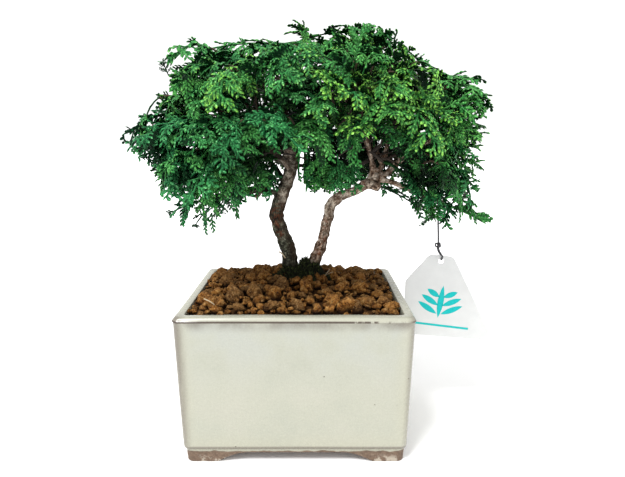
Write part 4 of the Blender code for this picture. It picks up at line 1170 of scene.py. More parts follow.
def stone_shapes(level, count, seed):
    """Rough porous stones of radius about 1, as arrays of points."""
    rng = random.Random(seed)
    points, faces = ball(level)
    shapes = []
    for _ in range(count):
        at = drawn(rng.uniform, -50, 50)
        cuts = [(unit(drawn(rng.gauss, 0, 1)), rng.uniform(0.52, 0.86))
                for _ in range(STONE_CUTS)]
        shape = []
        for point in points:
            way = Vector(point)
            reach = 1.06 + 0.30 * noise.noise(at + 1.3 * way)
            for normal, limit in cuts:
                lean = way.dot(normal)
                if lean > 0:
                    reach = min(reach, limit / lean)
            reach += 0.10 * noise.noise(at + 3.1 * way) + 0.09 * noise.noise(at + 6.7 * way)
            reach -= 0.16 * max(0.0, noise.noise(at + 4.5 * way) - 0.08)
            shape.append(way * reach)
        shapes.append(np.array(shape))
    return shapes, faces


def turn_matrix(rng):
    return np.array(Quaternion(unit(drawn(rng.gauss, 0, 1)), rng.uniform(0, 2 * math.pi)).to_matrix())


def lava_paint():
    """Porous lava, some stones rusty and some brown, pale on their grit, with a painted highlight on
    their tops, painted shade in their pores, and painted shade with soil dust on their lower halves.
    """
    paint = Paint("lava", roughness=0.95, specular_ior_level=0.12)
    mottle, pores, grit = paint.noise(2.6, 5, 0.62), paint.cells(0.75), paint.noise(0.85, 4, 0.75)
    rust = paint.ramp(mottle, (0.32, (0.026, 0.006, 0.0006)), (0.44, (0.145, 0.048, 0.006)),
                      (0.54, (0.270, 0.115, 0.022)), (0.70, (0.44, 0.25, 0.085)))
    brown = paint.ramp(mottle, (0.32, (0.014, 0.005, 0.001)), (0.46, (0.085, 0.036, 0.009)),
                       (0.58, (0.165, 0.085, 0.028)), (0.72, (0.27, 0.16, 0.070)))
    colour = paint.mix(paint.between(paint.number("tint"), 0.35, 1.0), rust, brown)
    colour = paint.over(colour, (0.58, 0.37, 0.17), paint.between(grit, 0.54, 0.66), 0.5)
    # How low on its stone a point lies: lighter on top as a painted highlight, darker below as painted
    # shade with soil dust.
    stone_lowness = paint.number("sunk")
    colour = paint.over(colour, (0.50, 0.27, 0.095), paint.between(stone_lowness, 0.08, 0.34, False), 0.18)
    # Painted shade in the pores.
    dark = paint.times(paint.between(pores, 0.12, 0.40, False), 0.88)
    dark = paint.most(dark, paint.between(grit, 0.34, 0.46, False))
    # Painted shade with soil dust on the stones' lower halves.
    dark = paint.most(dark, paint.times(paint.between(stone_lowness, 0.26, 0.66), 0.98))
    colour = paint.mix(dark, colour, (0.010, 0.003, 0.0006))
    rough = paint.bump(grit, 0.6)
    return paint.set(base_color=colour, normal=paint.bump(paint.between(pores, 0.05, 0.4), 0.6, rough))


def make_stones():
    """A heap of lava stones in layers, those of one layer drawn clear of each other."""
    rng = random.Random(STONE_SEED)
    heap, start = [], 0
    for count, small, large, lift, level in STONE_LAYERS:
        shapes, faces = stone_shapes(level, STONE_SHAPES, STONE_SHAPES_SEED + level + count)
        layer = []
        for _ in range(40 * count):
            if len(layer) == count:
                break
            size = rng.uniform(small, large)
            x, y = [rng.uniform(-1, 1) * (half - 0.7 * size) for half in SOIL_HALF]
            if (all(math.hypot(x - a, y - b) >= reach + size * PLANT_APART for a, b, reach in PLANT_BASES)
                    and all(math.hypot(x - a, y - b) >= STONES_APART * (size + other)
                            for a, b, other in layer)):
                layer.append((x, y, size))
        for x, y, size in layer:
            rise = lift + rng.uniform(-0.7, 0.9)
            stretch = np.array([rng.uniform(*ends) for ends in STONE_STRETCH])
            shape = (shapes[rng.randrange(len(shapes))] * stretch) @ turn_matrix(rng).T * size
            reach = np.abs(shape).max(0)
            x, y = [max(far, min(-far, at)) for far, at in zip(reach[:2] - SOIL_HALF, (x, y))]
            # How low on its stone each point lies, which the lava's colour turns into a painted highlight
            # on top and painted shade with soil dust below.
            low = np.clip(0.5 - 0.5 * shape[:, 2] / reach[2], 0, 1)
            heap.append((shape + np.array([x, y, soil_height(x, y) + rise]), faces + start,
                         np.full(len(shape), rng.random()), low))
            start += len(shape)
    points, faces, tints, sunk = [np.concatenate(column) for column in zip(*heap)]
    points[:, 2] = np.minimum(points[:, 2], HIGHEST_STONE + 0.1 * (points[:, 2] - HIGHEST_STONE))
    stones = mesh_piece("lava_stones", points, faces, {"tint": tints, "sunk": sunk}, smooth=32)
    finish_piece(stones, "lava_gravel", lava_paint())


def make_soil():
    """The dark soil under the stones: a crumbly top on sides that narrow to the pot's floor."""
    columns, lines = SOIL_CELLS
    across = columns + 1
    points, faces = [], []
    for row in range(lines + 1):
        for column in range(across):
            x, y = SOIL_HALF[0] * (2 * column / columns - 1), SOIL_HALF[1] * (2 * row / lines - 1)
            crumb = (0.7 * noise.noise(Vector((x, y, 0)) / 2.1)
                     + 0.9 * noise.noise(Vector((x, y, 7)) / 6))
            points.append((x, y, soil_height(x, y) - 0.8 + crumb))
            if row < lines and column < columns:
                a = row * across + column
                faces += [(a, a + 1, a + 1 + across), (a, a + 1 + across, a + across)]
    edge = list(range(columns)) + [row * across + columns for row in range(lines)]
    edge += [lines * across + column for column in range(columns, 0, -1)]
    edge += [row * across for row in range(lines, 0, -1)]
    first = len(points)
    points += [(0.972 * points[k][0], 0.965 * points[k][1], FLOOR_TOP + JOIN_GAP) for k in edge]
    middle = len(points)
    points.append((0, 0, FLOOR_TOP + JOIN_GAP))
    for k in range(len(edge)):
        j = (k + 1) % len(edge)
        a, b, c, d = edge[k], edge[j], first + j, first + k
        faces += [(a, d, c), (a, c, b), (d, middle, c)]
    soil = mesh_piece("soil", points, faces, smooth=180)
    earth = Paint("dark_soil", roughness=0.95, specular_ior_level=0.12)
    crumbs = earth.noise(1.2, 6, 0.7)
    colour = earth.ramp(crumbs, (0.3, (0.012, 0.005, 0.002)), (0.7, (0.10, 0.046, 0.015)))
    earth.coat(colour, crumbs, 0.8)
    finish_piece(soil, "lava_gravel", earth.material, "substrate")


# Patches of moss: middle, reach, how many blades and how tall the patch humps up.
MOSS_PATCHES = [((-6, 1), 8.5, 900, 9.0), ((6, -1), 6.5, 1300, 15.0), ((13, 1), 7.0, 800, 11.0),
                ((-15, 0), 5.5, 300, 3.0), ((2, 12), 9.0, 300, 2.5), ((-31, -4), 3.2, 60, 0.5),
                ((20, 0), 5.0, 280, 2.5), ((-2, -5), 6.0, 720, 8.0), ((8, -5), 6.0, 620, 5.6)]
MOSS_SEED = 77
MOSS_TALL, MOSS_WIDE = (1.4, 3.4), (0.22, 0.42)
MOSS_BEND = 0.55            # share of a blade's height before it bends
# Dry twigs on the stones and the bark: their two ends and their radius.
STRAWS = [((-12.5, -4.5, 131.5), (-8.0, -3.5, 126.5), 0.5),
          ((-59.5, -40, 108.2), (-51, -42.5, 103.8), 0.45),
          ((-3, -6, 116), (-2.4, -6.6, 110.8), 0.3), ((24, -3, 118), (20, -1, 112), 0.25),
          ((26.5, -1, 115.5), (21, 0, 112.5), 0.22)]


def make_moss():
    """Dark moss and root hairs at the foot of the trunks, as many small blades."""
    rng = random.Random(MOSS_SEED)
    points, faces, tints = [], [], []
    for centre, reach, count, hump in MOSS_PATCHES:
        for _ in range(count):
            angle, far = rng.uniform(0, 2 * math.pi), reach * math.sqrt(rng.random())
            rise = hump * (1 - (far / reach) ** 2)
            x, y = math.cos(angle), math.sin(angle)
            root = Vector((centre[0] + far * x, centre[1] + 0.8 * far * y, 0))
            root.z = soil_height(root.x, root.y) + 1.0 + rise - rng.uniform(0, 1.6)
            lean = unit((x * rng.uniform(0.1, 1.0), y * rng.uniform(0.1, 1.0), rng.uniform(0.35, 1.3)))
            tall, wide = rng.uniform(*MOSS_TALL), rng.uniform(*MOSS_WIDE)
            side = square_to(drawn(rng.gauss, 0, 1), lean)
            bend = root + MOSS_BEND * tall * lean
            start = len(points)
            for middle, radius, turn in ((root, wide, 0), (bend, 0.8 * wide, 0.5)):
                points += [round_point(middle, radius, side, lean.cross(side), angle + turn)
                           for angle in circle(3)]
            points.append(bend + 0.5 * tall * unit(lean + 0.5 * side))
            faces += skin(3, 1, start) + [(start + a, start + b, start + c) for a, b, c in
                                          ((3, 4, 6), (4, 5, 6), (5, 3, 6), (0, 2, 1))]
            tints += [rng.random()] * 7
    moss = mesh_piece("moss", points, faces, {"tint": tints}, smooth=180)
    paint = Paint("moss", roughness=0.9, specular_ior_level=0.15)
    speck = paint.noise(1.5, 4)
    dark = paint.ramp(speck, (0.3, (0.006, 0.008, 0.005)), (0.8, (0.028, 0.032, 0.014)))
    green = paint.ramp(speck, (0.3, (0.03, 0.045, 0.012)), (0.8, (0.12, 0.15, 0.045)))
    colour = paint.mix(paint.between(paint.number("tint"), 0.72, 0.95), dark, green)
    finish_piece(moss, "moss", paint.coat(colour, speck, 0.2))


def make_straws():
    parts = []
    for start, end, thick in STRAWS:
        a, b = Vector(start), Vector(end)
        middle = a.lerp(b, 0.5) + Vector((0.3, -0.3, 0.6))
        parts.append(tube(smooth_route([a, middle, b], 5), [thick] * 6 + [0.8 * thick] * 5, 7))
    straw = mesh_piece("dry_twigs", *joined(parts))
    pale = Paint("dry_twig", roughness=0.8)
    fibre = pale.noise(0.5, 4, 0.6, (1, 1, 0.3))
    colour = pale.ramp(fibre, (0.3, (0.34, 0.25, 0.14)), (0.75, (0.62, 0.52, 0.36)))
    finish_piece(straw, "bark", pale.coat(colour, fibre, 0.1))


# ---------------------------------------------------------------- wood

ROUTE_STEPS = 6             # points on each stretch of a smoothed route
WOOD_VOXEL = 0.55
HOLE_FLOOR = 93.0
ROOT_RADII = [8.0, 8.4, 6.0]
TRUNK_SIDES, BRANCH_SIDES = 28, 14
BRANCH_SWELL, SWELL_STEPS = 0.55, 1.6   # how much wider a limb is at its foot, and how far out
ROOTS = [(200, 9), (250, 8), (300, 9), (345, 8), (30, 8), (160, 8)]     # turn in degrees, reach
RIDGES = 3.4                # bark ridges round a trunk
BARK_STRETCH = 0.16         # how much slower the bark changes along a trunk than round it
CRACKS, FINE, KNOBS, LUMPS = -0.50, 0.30, 0.65, 0.9     # depths of the bark's forms
KNOB_SIZE, LUMP_SIZE = 3.1, 7.0
FULL_BARK = 3.6             # radius from which the bark has its full depth
LIMBS_LIT_FROM, LIMBS_LIT_BELOW = 28, 213   # limbs left of or above this lie in the crown's shade
# Spots on the bark as (place, reach): reddish where it has flaked, pale where it is worn and as painted
# highlights.
RED_SPOTS = [((-13, -2, 160), 7), ((-15, -2, 152), 5), ((21, 1, 150), 4.5), ((19, 1, 138), 5),
             ((17, 2, 130), 5), ((33, 0, 171), 5), ((-12, -1, 143), 4), ((46, -2, 178), 5)]
PALE_SPOTS = [((-8, -3, 172), 5), ((-4, -4, 184), 7), ((-5, -4, 194), 9), ((-5, -2, 202), 8),
              ((24, -1, 163), 8), ((36, -2, 174), 9), ((20, -1, 150), 5), ((21, 1, 144), 3),
              ((50, -2, 181), 6), ((-9, -1, 168), 4)]
KNOB, KNOB_LIT = Vector((-5, -1, 192)), 10      # the top of the left trunk, out of the crown's shade


def spread(values, steps):
    """Numbers for a smoothed route, from those at its points."""
    full = []
    for a, b in zip(values, values[1:]):
        full += [a + (b - a) * k / steps for k in range(steps)]
    return full + [values[-1]]


def rough_tube(route, radii, sides, seed):
    """A tube whose radius wanders, so that no stretch of it looks turned."""
    swollen = [radius * (1 + 0.10 * noise.noise(point / 7 + Vector((seed, 0, 0)))
                         + 0.05 * noise.noise(point / 2.6)) for point, radius in zip(route, radii)]
    return tube(route, swollen, sides)


def wood_skin():
    """Trunks, limbs, stubs and root ball merged into one skin, with the middle line of each length
    of it as (place, radius, direction), and how many of those belong to the trunks."""
    parts, line = [], []

    def add_branch(points, radii, sides, swell):
        """A smoothed branch, wider at its foot by swell, with a seed of its own."""
        route, widths = smooth_route(points, ROUTE_STEPS), spread(radii, ROUTE_STEPS)
        widths = [width * (1 + swell * math.exp(-k / SWELL_STEPS)) for k, width in enumerate(widths)]
        parts.append(rough_tube(route, widths, sides, 5 * len(parts)))
        line.extend((place, widths[k], direction_at(route, k)) for k, place in enumerate(route))

    add_branch(LEFT_TRUNK, LEFT_RADII, TRUNK_SIDES, 0)
    add_branch(RIGHT_TRUNK, RIGHT_RADII, TRUNK_SIDES, 0)
    trunk_count = len(line)
    for points, root, tip in LIMBS.values():
        add_branch(points, limb_radii(points, root, tip), BRANCH_SIDES, BRANCH_SWELL)
    for start, end, radius in STUBS.values():
        a, b = Vector(start), Vector(end)
        parts.append(tube([a, a.lerp(b, 0.5), a.lerp(b, 0.85), b],
                          [share * radius for share in (1.15, 1.02, 0.98, 0.72)], 18))
    parts.append(tube([(3, 6, HOLE_FLOOR + JOIN_GAP), (3, 6, 97), (3, 6, 101)], ROOT_RADII, 24))
    for turn, far in ROOTS:
        way = Vector((math.cos(math.radians(turn)), math.sin(math.radians(turn)), 0))
        foot = Vector((3, 6, 104)) + far * 1.25 * way
        parts.append(tube([(3 + 4 * way.x, 6 + 4 * way.y, 118), (3 + 6.5 * way.x, 6 + 6 * way.y, 112),
                           foot], [2.2, 2.6, 1.8], 12))
    wood = mesh_piece("trunks", *joined(parts), smooth=180)
    remesh = wood.modifiers.new("skin", "REMESH")
    remesh.mode, remesh.voxel_size = "VOXEL", WOOD_VOXEL * MM
    smoothing = wood.modifiers.new("smooth", "SMOOTH")
    smoothing.factor, smoothing.iterations = 0.6, 4
    return applied(wood), line, trunk_count


def make_trunks():
    """The wood's skin carved with bark, with numbers for where it is cracked, worn or mossy, and for its
    painted highlights and painted shade.
    """
    wood, line, trunk_count = wood_skin()
    tree = KDTree(len(line))
    for k, (place, _, _) in enumerate(line):
        tree.insert(place, k)
    tree.balance()
    mesh = wood.data
    count = len(mesh.vertices)
    points, normals = np.empty(count * 3), np.empty(count * 3)
    mesh.vertices.foreach_get("co", points)
    mesh.vertices.foreach_get("normal", normals)
    points = (points.reshape(-1, 3) - np.array(HOME)) / MM
    normals = normals.reshape(-1, 3)
    crack, red, pale, deep = (np.zeros(count) for _ in range(4))
    inner = depth_in_crown(points)
    for k in range(count):
        point = Vector(points[k])
        place, index, _ = tree.find(point)
        _, radius, way = line[index]
        way = way.normalized()
        side = square_to(ASKEW, way)
        out = point - place
        turn = math.atan2(out.dot(way.cross(side)), out.dot(side))
        run = (place - Vector((0, 0, 90))).dot(way) * BARK_STRETCH
        wide = RIDGES * min(1.4, radius / 4)
        x, y = wide * math.cos(turn), wide * math.sin(turn)
        plates = noise.noise(Vector((x, y, run)))
        fine = noise.noise(Vector((2.3 * x, 2.3 * y, 3.1 * run)))
        knobs = noise.noise(point / KNOB_SIZE)
        lumps = noise.noise(point / LUMP_SIZE + Vector((3.0, 0, 0)))
        ridge = 1 - abs(plates) * 3.2
        depth = CRACKS * max(ridge, 0) + FINE * fine + KNOBS * knobs + LUMPS * lumps
        points[k] += normals[k] * (depth * min(1.0, radius / FULL_BARK))
        crack[k] = max(0.0, min(1.0, ridge))
        if index >= trunk_count and (point.x < LIMBS_LIT_FROM or point.z > LIMBS_LIT_BELOW):
            deep[k] = inner[k] * max(0.0, min(1.0, ((point - KNOB).length - KNOB_LIT) / 4))
    for spots, values in ((RED_SPOTS, red), (PALE_SPOTS, pale)):
        for centre, reach in spots:
            far = np.linalg.norm(points - np.array(centre), axis=1) / reach
            np.maximum(values, np.clip(1.6 - 1.3 * far, 0, 1), out=values)
    x, z = points[:, 0], points[:, 2]
    mesh.vertices.foreach_set("co", (points * MM + np.array(HOME)).astype(np.float32).ravel())
    set_numbers(mesh, {
        "crack": crack, "red": red, "pale": pale, "deep": deep, "moss": np.clip((128 - z) / 14, 0, 1),
        "left": np.clip((4 - x + 0.25 * (z - 110)) / 6, 0, 1) * (z < 200),
        # The last number is painted shade on the sides of the wood that face right and down.
        "lee": np.clip(0.95 * normals[:, 0] - 0.45 * normals[:, 2] + 0.05, 0, 1)})
    mesh.update()
    mesh.shade_smooth()
    return wood


def bark_paint():
    """Flaking bark: grey-brown plates, reddish where they have come off, pale where worn and as painted
    highlights, mossy at the foot, with painted shade on its right and lower sides and deep in the crown.
    """
    paint = Paint("bark", roughness=0.9, specular_ior_level=0.15)
    between, number = paint.between, paint.number
    plates, grain = paint.noise(3.4, 6, 0.7), paint.noise(0.9, 5, 0.75, (1, 1, 0.5))
    left = number("left")
    dark = paint.ramp(plates, (0.39, (0.003, 0.004, 0.003)), (0.46, (0.024, 0.024, 0.017)),
                      (0.54, (0.088, 0.094, 0.064)), (0.66, (0.30, 0.30, 0.22)))
    light = paint.ramp(plates, (0.36, (0.028, 0.013, 0.007)), (0.44, (0.150, 0.086, 0.052)),
                       (0.51, (0.42, 0.290, 0.205)), (0.61, (0.84, 0.71, 0.58)))
    body = paint.mix(left, light, dark)
    fleck = paint.mix(left, (0.62, 0.50, 0.40), (0.25, 0.24, 0.175))
    body = paint.over(body, fleck, between(grain, 0.54, 0.70), 0.45)
    body = paint.over(body, (0.014, 0.009, 0.006), between(grain, 0.30, 0.46, False), 0.8)
    # Pale worn bark at the pale spots, which also serves as painted highlights.
    worn = paint.ramp(plates, (0.42, (0.26, 0.19, 0.135)), (0.56, (0.80, 0.69, 0.56)))
    body = paint.over(body, worn, paint.times(number("pale"), between(grain, 0.30, 0.52)), 0.9)
    flaked = paint.times(number("red"), between(paint.noise(2.3, 4, 0.6), 0.45, 0.56))
    body = paint.over(body, (0.20, 0.062, 0.028), flaked, 0.72)
    body = paint.over(body, (0.012, 0.008, 0.006), number("crack"), 0.8)
    # Painted shade on the sides of the wood that face right and down.
    body = paint.over(body, (0.040, 0.022, 0.012), number("lee"), 0.8)
    mossy = paint.ramp(grain, (0.3, (0.004, 0.005, 0.004)), (0.75, (0.026, 0.028, 0.015)))
    body = paint.over(body, mossy, number("moss"), between(paint.noise(4, 4, 0.6), 0.18, 0.5))
    # Painted shade of the crown on the limbs inside it.
    body = paint.over(body, (0.010, 0.007, 0.005), number("deep"), 0.85)
    return paint.set(base_color=body, normal=paint.bump(grain, 0.4, paint.bump(plates, 0.6)))


# ---------------------------------------------------------------- foliage

LEAF_THICK = 0.62           # half thickness over half width
EDGE_LIT, TIP_LIT = 0.26, 0.95      # brightness of a strip's sides and tip, next to its ridge
FINGER_HALF, SHOOT_HALF, RACHIS_HALF = 1.06, 0.92, 0.95
FINGER_LONG, FINGER_SHORT = 6.0, 3.2
FINGER_PITCH = 1.5          # along a shoot, hands taken by turns
FINGER_LEAN = (38, 56)      # degrees off the shoot
SHOOT_PITCH = 4.3           # along the rachis, hands taken by turns
SHOOT_STEP = 2.6            # length of one joint
SHOOT_SAG, SHOOT_AHEAD = 0.34, 0.30
SHOOT_TILT, SHOOT_ROLL = 22, 36     # degrees, spread of a shoot's rise and of its turn about itself
TOP_PITCH = 6.5             # between the short shoots that stand up from the rachis
TOP_LONG = (6, 10.5)
TOP_RISE, TOP_SWING, TOP_ROLL = (22, 58), (-60, 60), (-40, 40)      # in degrees
SPRAY_SEED, TREE_SEED = 300, 91
SHAPES = {"terminal": (TERMINAL, 7), "lateral": (LATERAL, 7),
          "small": ({"length": 28, "reach": 11.5, "lobes": 3, "root": 2.0}, 9)}


class Spray:
    """A spray's strips of scale leaves, as points of (along, across, lift).

    fresh says how young each point is, ridge how far it stands out of its strip's shade. Each
    strip is a shoot of its own, and parents says which shoot it grows from: 0 is the rachis."""

    def __init__(self):
        self.points, self.faces, self.fresh, self.ridge = [], [], [], []
        self.shoots, self.parents = [], []

    def strip(self, line, halves, fresh, lit, flat, parent):
        """A closed strip along a line, lying square to the vector flat, with a blunt tip."""
        first, last = len(self.points), len(line) - 1
        for k in range(last):
            way = line[k + 1] - line[max(k - 1, 0)]
            side = way.cross(flat).normalized() * halves[k]
            thick = side.cross(way).normalized() * (LEAF_THICK * halves[k])
            self.points += [line[k] + side, line[k] + thick, line[k] - side, line[k] - thick]
            self.fresh += [fresh[k]] * 4
            # Painted light: full on each ring's top point and dimmer on its sides, with painted shade on
            # its underside.
            self.ridge += [EDGE_LIT * lit[k], lit[k], EDGE_LIT * lit[k], 0.0]
        self.points.append(line[last])
        self.fresh.append(fresh[last])
        self.ridge.append(TIP_LIT * lit[last - 1])
        self.shoots += [len(self.parents)] * (len(self.points) - first)
        self.parents.append(parent)
        self.faces += skin(4, last - 1, first)
        tip, rim = first + 4 * last, first + 4 * (last - 1)
        self.faces += [(rim + k, rim + (k + 1) % 4, tip) for k in range(4)]
        self.faces += [(first, first + 2, first + 1), (first, first + 3, first + 2)]

    def shoot(self, start, way, flat, length, young, rng):
        """A side shoot that bends forward and down, with fingers on both sides."""
        steps = max(2, round(length / SHOOT_STEP))
        line, ways = [start], []
        for k in range(steps):
            way = unit(way + Vector((SHOOT_AHEAD, 0, -SHOOT_SAG)) / steps * min(1.6, length / 9))
            ways.append(way)
            line.append(line[-1] + way * length / steps)
        halves = [SHOOT_HALF * (0.8 if k % 2 else 1.05) * (1 - 0.25 * k / steps) for k in range(steps)]
        self.strip(line, halves, [young * (0.2 + 0.8 * k / steps) for k in range(steps + 1)],
                   [0.75 + 0.2 * k / steps for k in range(steps)], flat, 0)
        number = len(self.parents) - 1
        far, hand = rng.uniform(0.8, 2.2), rng.choice((-1, 1))
        while far < length - 0.5:
            share = far / length
            k = min(int(share * steps), steps - 1)
            base = line[k].lerp(line[k + 1], share * steps - k)
            side = ways[k].cross(flat).normalized()
            lean = math.radians(rng.uniform(*FINGER_LEAN))
            size = (FINGER_LONG + (FINGER_SHORT - FINGER_LONG) * share) * rng.uniform(0.78, 1.12)
            size *= min(1.0, 0.55 + length / 26)
            out = unit(math.cos(lean) * ways[k] + hand * math.sin(lean) * side
                       + rng.uniform(-0.22, 0.2) * flat)
            middle = base + 0.62 * size * out
            end = middle + 0.38 * size * unit(out + Vector((0.25, 0, -0.3)))
            wide = FINGER_HALF * rng.uniform(0.86, 1.1)
            ages = [young * 0.1, young * (0.5 + 0.3 * share), young * 1.2]
            self.strip([base, middle, end], [0.66 * wide, wide], ages, [0.55, 1.0], flat, number)
            far += FINGER_PITCH * rng.uniform(0.85, 1.15)
            hand = -hand


def fan_spray(shape, rng):
    """A fan of side shoots along a rachis, each tilted its own way, with short ones on top."""
    length, reach = shape["length"], shape["reach"]
    spray = Spray()
    sway = rng.uniform(-0.03, 0.03) * length

    def at(along):
        return Vector((along, sway * math.sin(math.pi * max(along, 0) / length), 0))

    joints = round((length + shape["root"]) / 5)
    places = [k / joints * (0.97 * length + shape["root"]) - shape["root"] for k in range(joints + 1)]
    spray.strip([at(place) for place in places],
                [RACHIS_HALF * (0.85 if k % 2 else 1.0) for k in range(joints)],
                [0.4 * max(place, 0) / length for place in places], [0.7] * joints, UP, 0)
    along, hand = FIRST_LOBE * length * 0.7, rng.choice((-1, 1))
    while along < 0.93 * length:
        share = along / length
        wide = lobe_reach(min(1.0, share), reach) * rng.uniform(0.88, 1.06)
        left = length - along
        lean = math.atan2(wide, max(0.62 * wide, 0.45 * left)) + math.radians(rng.uniform(-4, 12))
        long = min(wide / math.sin(lean), 0.95 * left + 4)
        tilt = math.radians(rng.gauss(2, SHOOT_TILT))
        way = Vector((math.cos(lean) * math.cos(tilt), hand * math.sin(lean) * math.cos(tilt),
                      math.sin(tilt)))
        flat = turned(square_to(UP, way), way, rng.gauss(0, SHOOT_ROLL))
        spray.shoot(at(along), way, flat, long, 0.55 + 0.45 * share, rng)
        along += SHOOT_PITCH * rng.uniform(0.85, 1.15)
        hand = -hand
    along = rng.uniform(0.1, 0.2) * length
    while along < 0.9 * length:
        rise, swing = math.radians(rng.uniform(*TOP_RISE)), math.radians(rng.uniform(*TOP_SWING))
        way = Vector((math.cos(rise) * math.cos(swing), math.cos(rise) * math.sin(swing),
                      math.sin(rise)))
        flat = turned(square_to(Vector((-1, 0, 1)), way), way, rng.uniform(*TOP_ROLL))
        spray.shoot(at(along), way, flat, rng.uniform(*TOP_LONG), 0.9, rng)
        along += TOP_PITCH * rng.uniform(0.8, 1.2)
    return (rows(spray.points), np.array(spray.faces), np.array([spray.fresh, spray.ridge]),
            np.array(spray.shoots), np.array(spray.parents))


def make_sprays():
    """A few variants of each fan, to be bent along every frond."""
    sprays = {}
    for number, (kind, (shape, count)) in enumerate(SHAPES.items()):
        rng = random.Random(SPRAY_SEED + number)
        sprays[kind] = [fan_spray(shape, rng) for _ in range(count)]
    return sprays


def bent_spray(frond, kind, points):
    """A fan's points carried onto a frond's drooping, cupped form."""
    shape = SHAPES[kind][0]
    along = points[:, 0] * frond["length"] / shape["length"]
    across = points[:, 1] * frond["reach"] / shape["reach"]
    lift = points[:, 2] - frond["cup"] * across ** 2 / frond["reach"]
    angle = frond["droop"] * along / frond["length"]
    radius = frond["length"] / frond["droop"]
    forward = (radius + lift) * np.sin(angle)
    up = radius * (np.cos(angle) - 1) + lift * np.cos(angle)
    axis, normal = frond["axis"], frond["normal"]
    side = normal.cross(axis)
    return (np.array(frond["origin"]) + forward[:, None] * np.array(axis)
            + across[:, None] * np.array(side) + up[:, None] * np.array(normal))


# The crown's outline as the camera sees it on the plane y = 0: (x, z) along its top and its lower
# edge, and (z, x) up its ends.
TOP_EDGE = [(-123, 210), (-113, 221), (-99, 227), (-86, 233), (-80, 240), (-86, 249), (-84, 262),
            (-70, 265), (-60, 276), (-53, 269), (-43, 271), (-37, 276), (-30, 271), (-13, 274),
            (5, 273), (20, 283), (27, 283), (46, 286), (57, 285), (64, 280), (74, 266), (88, 256),
            (101, 252), (119, 252), (132, 248), (139, 236)]
LOW_EDGE = [(-124, 205), (-106, 196), (-98, 178), (-92, 158), (-84, 141), (-76, 148), (-66, 135),
            (-44, 135), (-37, 158), (-32, 170), (-15, 172), (6, 171), (30, 172), (46, 174),
            (63, 160), (77, 166), (85, 147), (108, 150), (122, 149), (139, 150)]
RIGHT_EDGE = [(150, 139), (163, 131), (170, 118), (182, 121), (187, 134), (196, 128), (212, 129),
              (222, 126), (236, 138), (248, 132), (253, 119)]
LEFT_EDGE = [(140, -86), (178, -99), (192, -107), (208, -123), (222, -113), (232, -88), (249, -86),
             (263, -84)]
EDGE_SLACK = (-1.5, 9.0)    # how far shoots may stand out of it
TIP_SLACK = 1.5             # and how far the tips of whole sprays may
MOST_PAST = 0.45            # a spray with a larger share of its shoots past the outline keeps them
# The same for the middles of small sprays, in the crown itself.
TOP_LINE = [(-122, 206), (-104, 222), (-92, 243), (-80, 261), (-57, 273), (-20, 270), (4, 268),
            (20, 281), (50, 287), (66, 278), (92, 256), (132, 247)]
LOW_LINE = [(-122, 200), (-104, 186), (-84, 178), (-58, 174), (-42, 174), (-22, 168), (-6, 172),
            (6, 168), (14, 166), (30, 168), (40, 172), (60, 176), (80, 172), (104, 166), (136, 164)]
LEFT_LINE = [(140, -86), (165, -97), (190, -104), (210, -120), (224, -108), (244, -93), (266, -78)]
RIGHT_LINE = [(146, 136), (160, 130), (178, 124), (200, 127), (218, 129), (238, 134), (248, 130),
              (256, 96), (284, 56)]
# Parts of the picture where the wood shows: no shoot hangs in front of them. Each is a low and a
# high corner on the plane y = 0, as (x, z).
WINDOWS = [((-13, 150), (5, 204)), ((5, 150), (35, 175)), ((46, 176), (66, 203))]
WINDOW_SLACK = 6            # how far shoots may reach into them
WINDOW_BEHIND = 0           # shoots further back than this do not hide it
# Sprays that hang below this height are thin: this share of their shoots is left out.
THIN_BELOW, THIN_SHARE = 170, 0.5
CROWN_HALF_DEPTH, CROWN_MIDDLE = 91, 206
# Boxes that small sprays keep out of, so that the trunks and the branches above them show.
FILLER_SPACES = [((-13, -95, 100), (6, -7, 203)), ((6, -95, 100), (36, -7, 168)),
                 ((36, -95, 100), (72, -7, 187)), ((41, -95, 178), (64, -12, 208)),
                 ((-32, 12, 100), (-13, 92, 164)), ((-13, 12, 100), (4, 92, 180)),
                 ((4, 12, 100), (76, 92, 167))]
# Boxes where small sprays start this many times more often.
EAGER_SPACES, EAGER = [((-48, -60, 172), (-8, 10, 215)), ((-2, -60, 172), (42, -2, 215))], 3
# The shade in the crown: how far it reaches down and to the front, the shape and share of the crown
# where it starts, and over what share it deepens.
SHADE_DOWN, SHADE_FRONT, SHADE_FULLNESS = 38, 80, 2.4
SHADE_START, SHADE_REACH = 0.88, 0.48
# Hollows of deeper painted shade in the crown: middle, and reach along each axis.
HOLLOWS = [((-30, -40, 200), (29, 58, 17)), ((-86, -30, 200), (13, 45, 11)),
           ((-62, -45, 188), (10, 40, 9)), ((24, -50, 224), (10, 34, 8)),
           ((86, -45, 186), (16, 45, 11)), ((72, -40, 244), (10, 40, 8))]
FILLERS = 215               # small sprays, spread as evenly as the places found for them allow
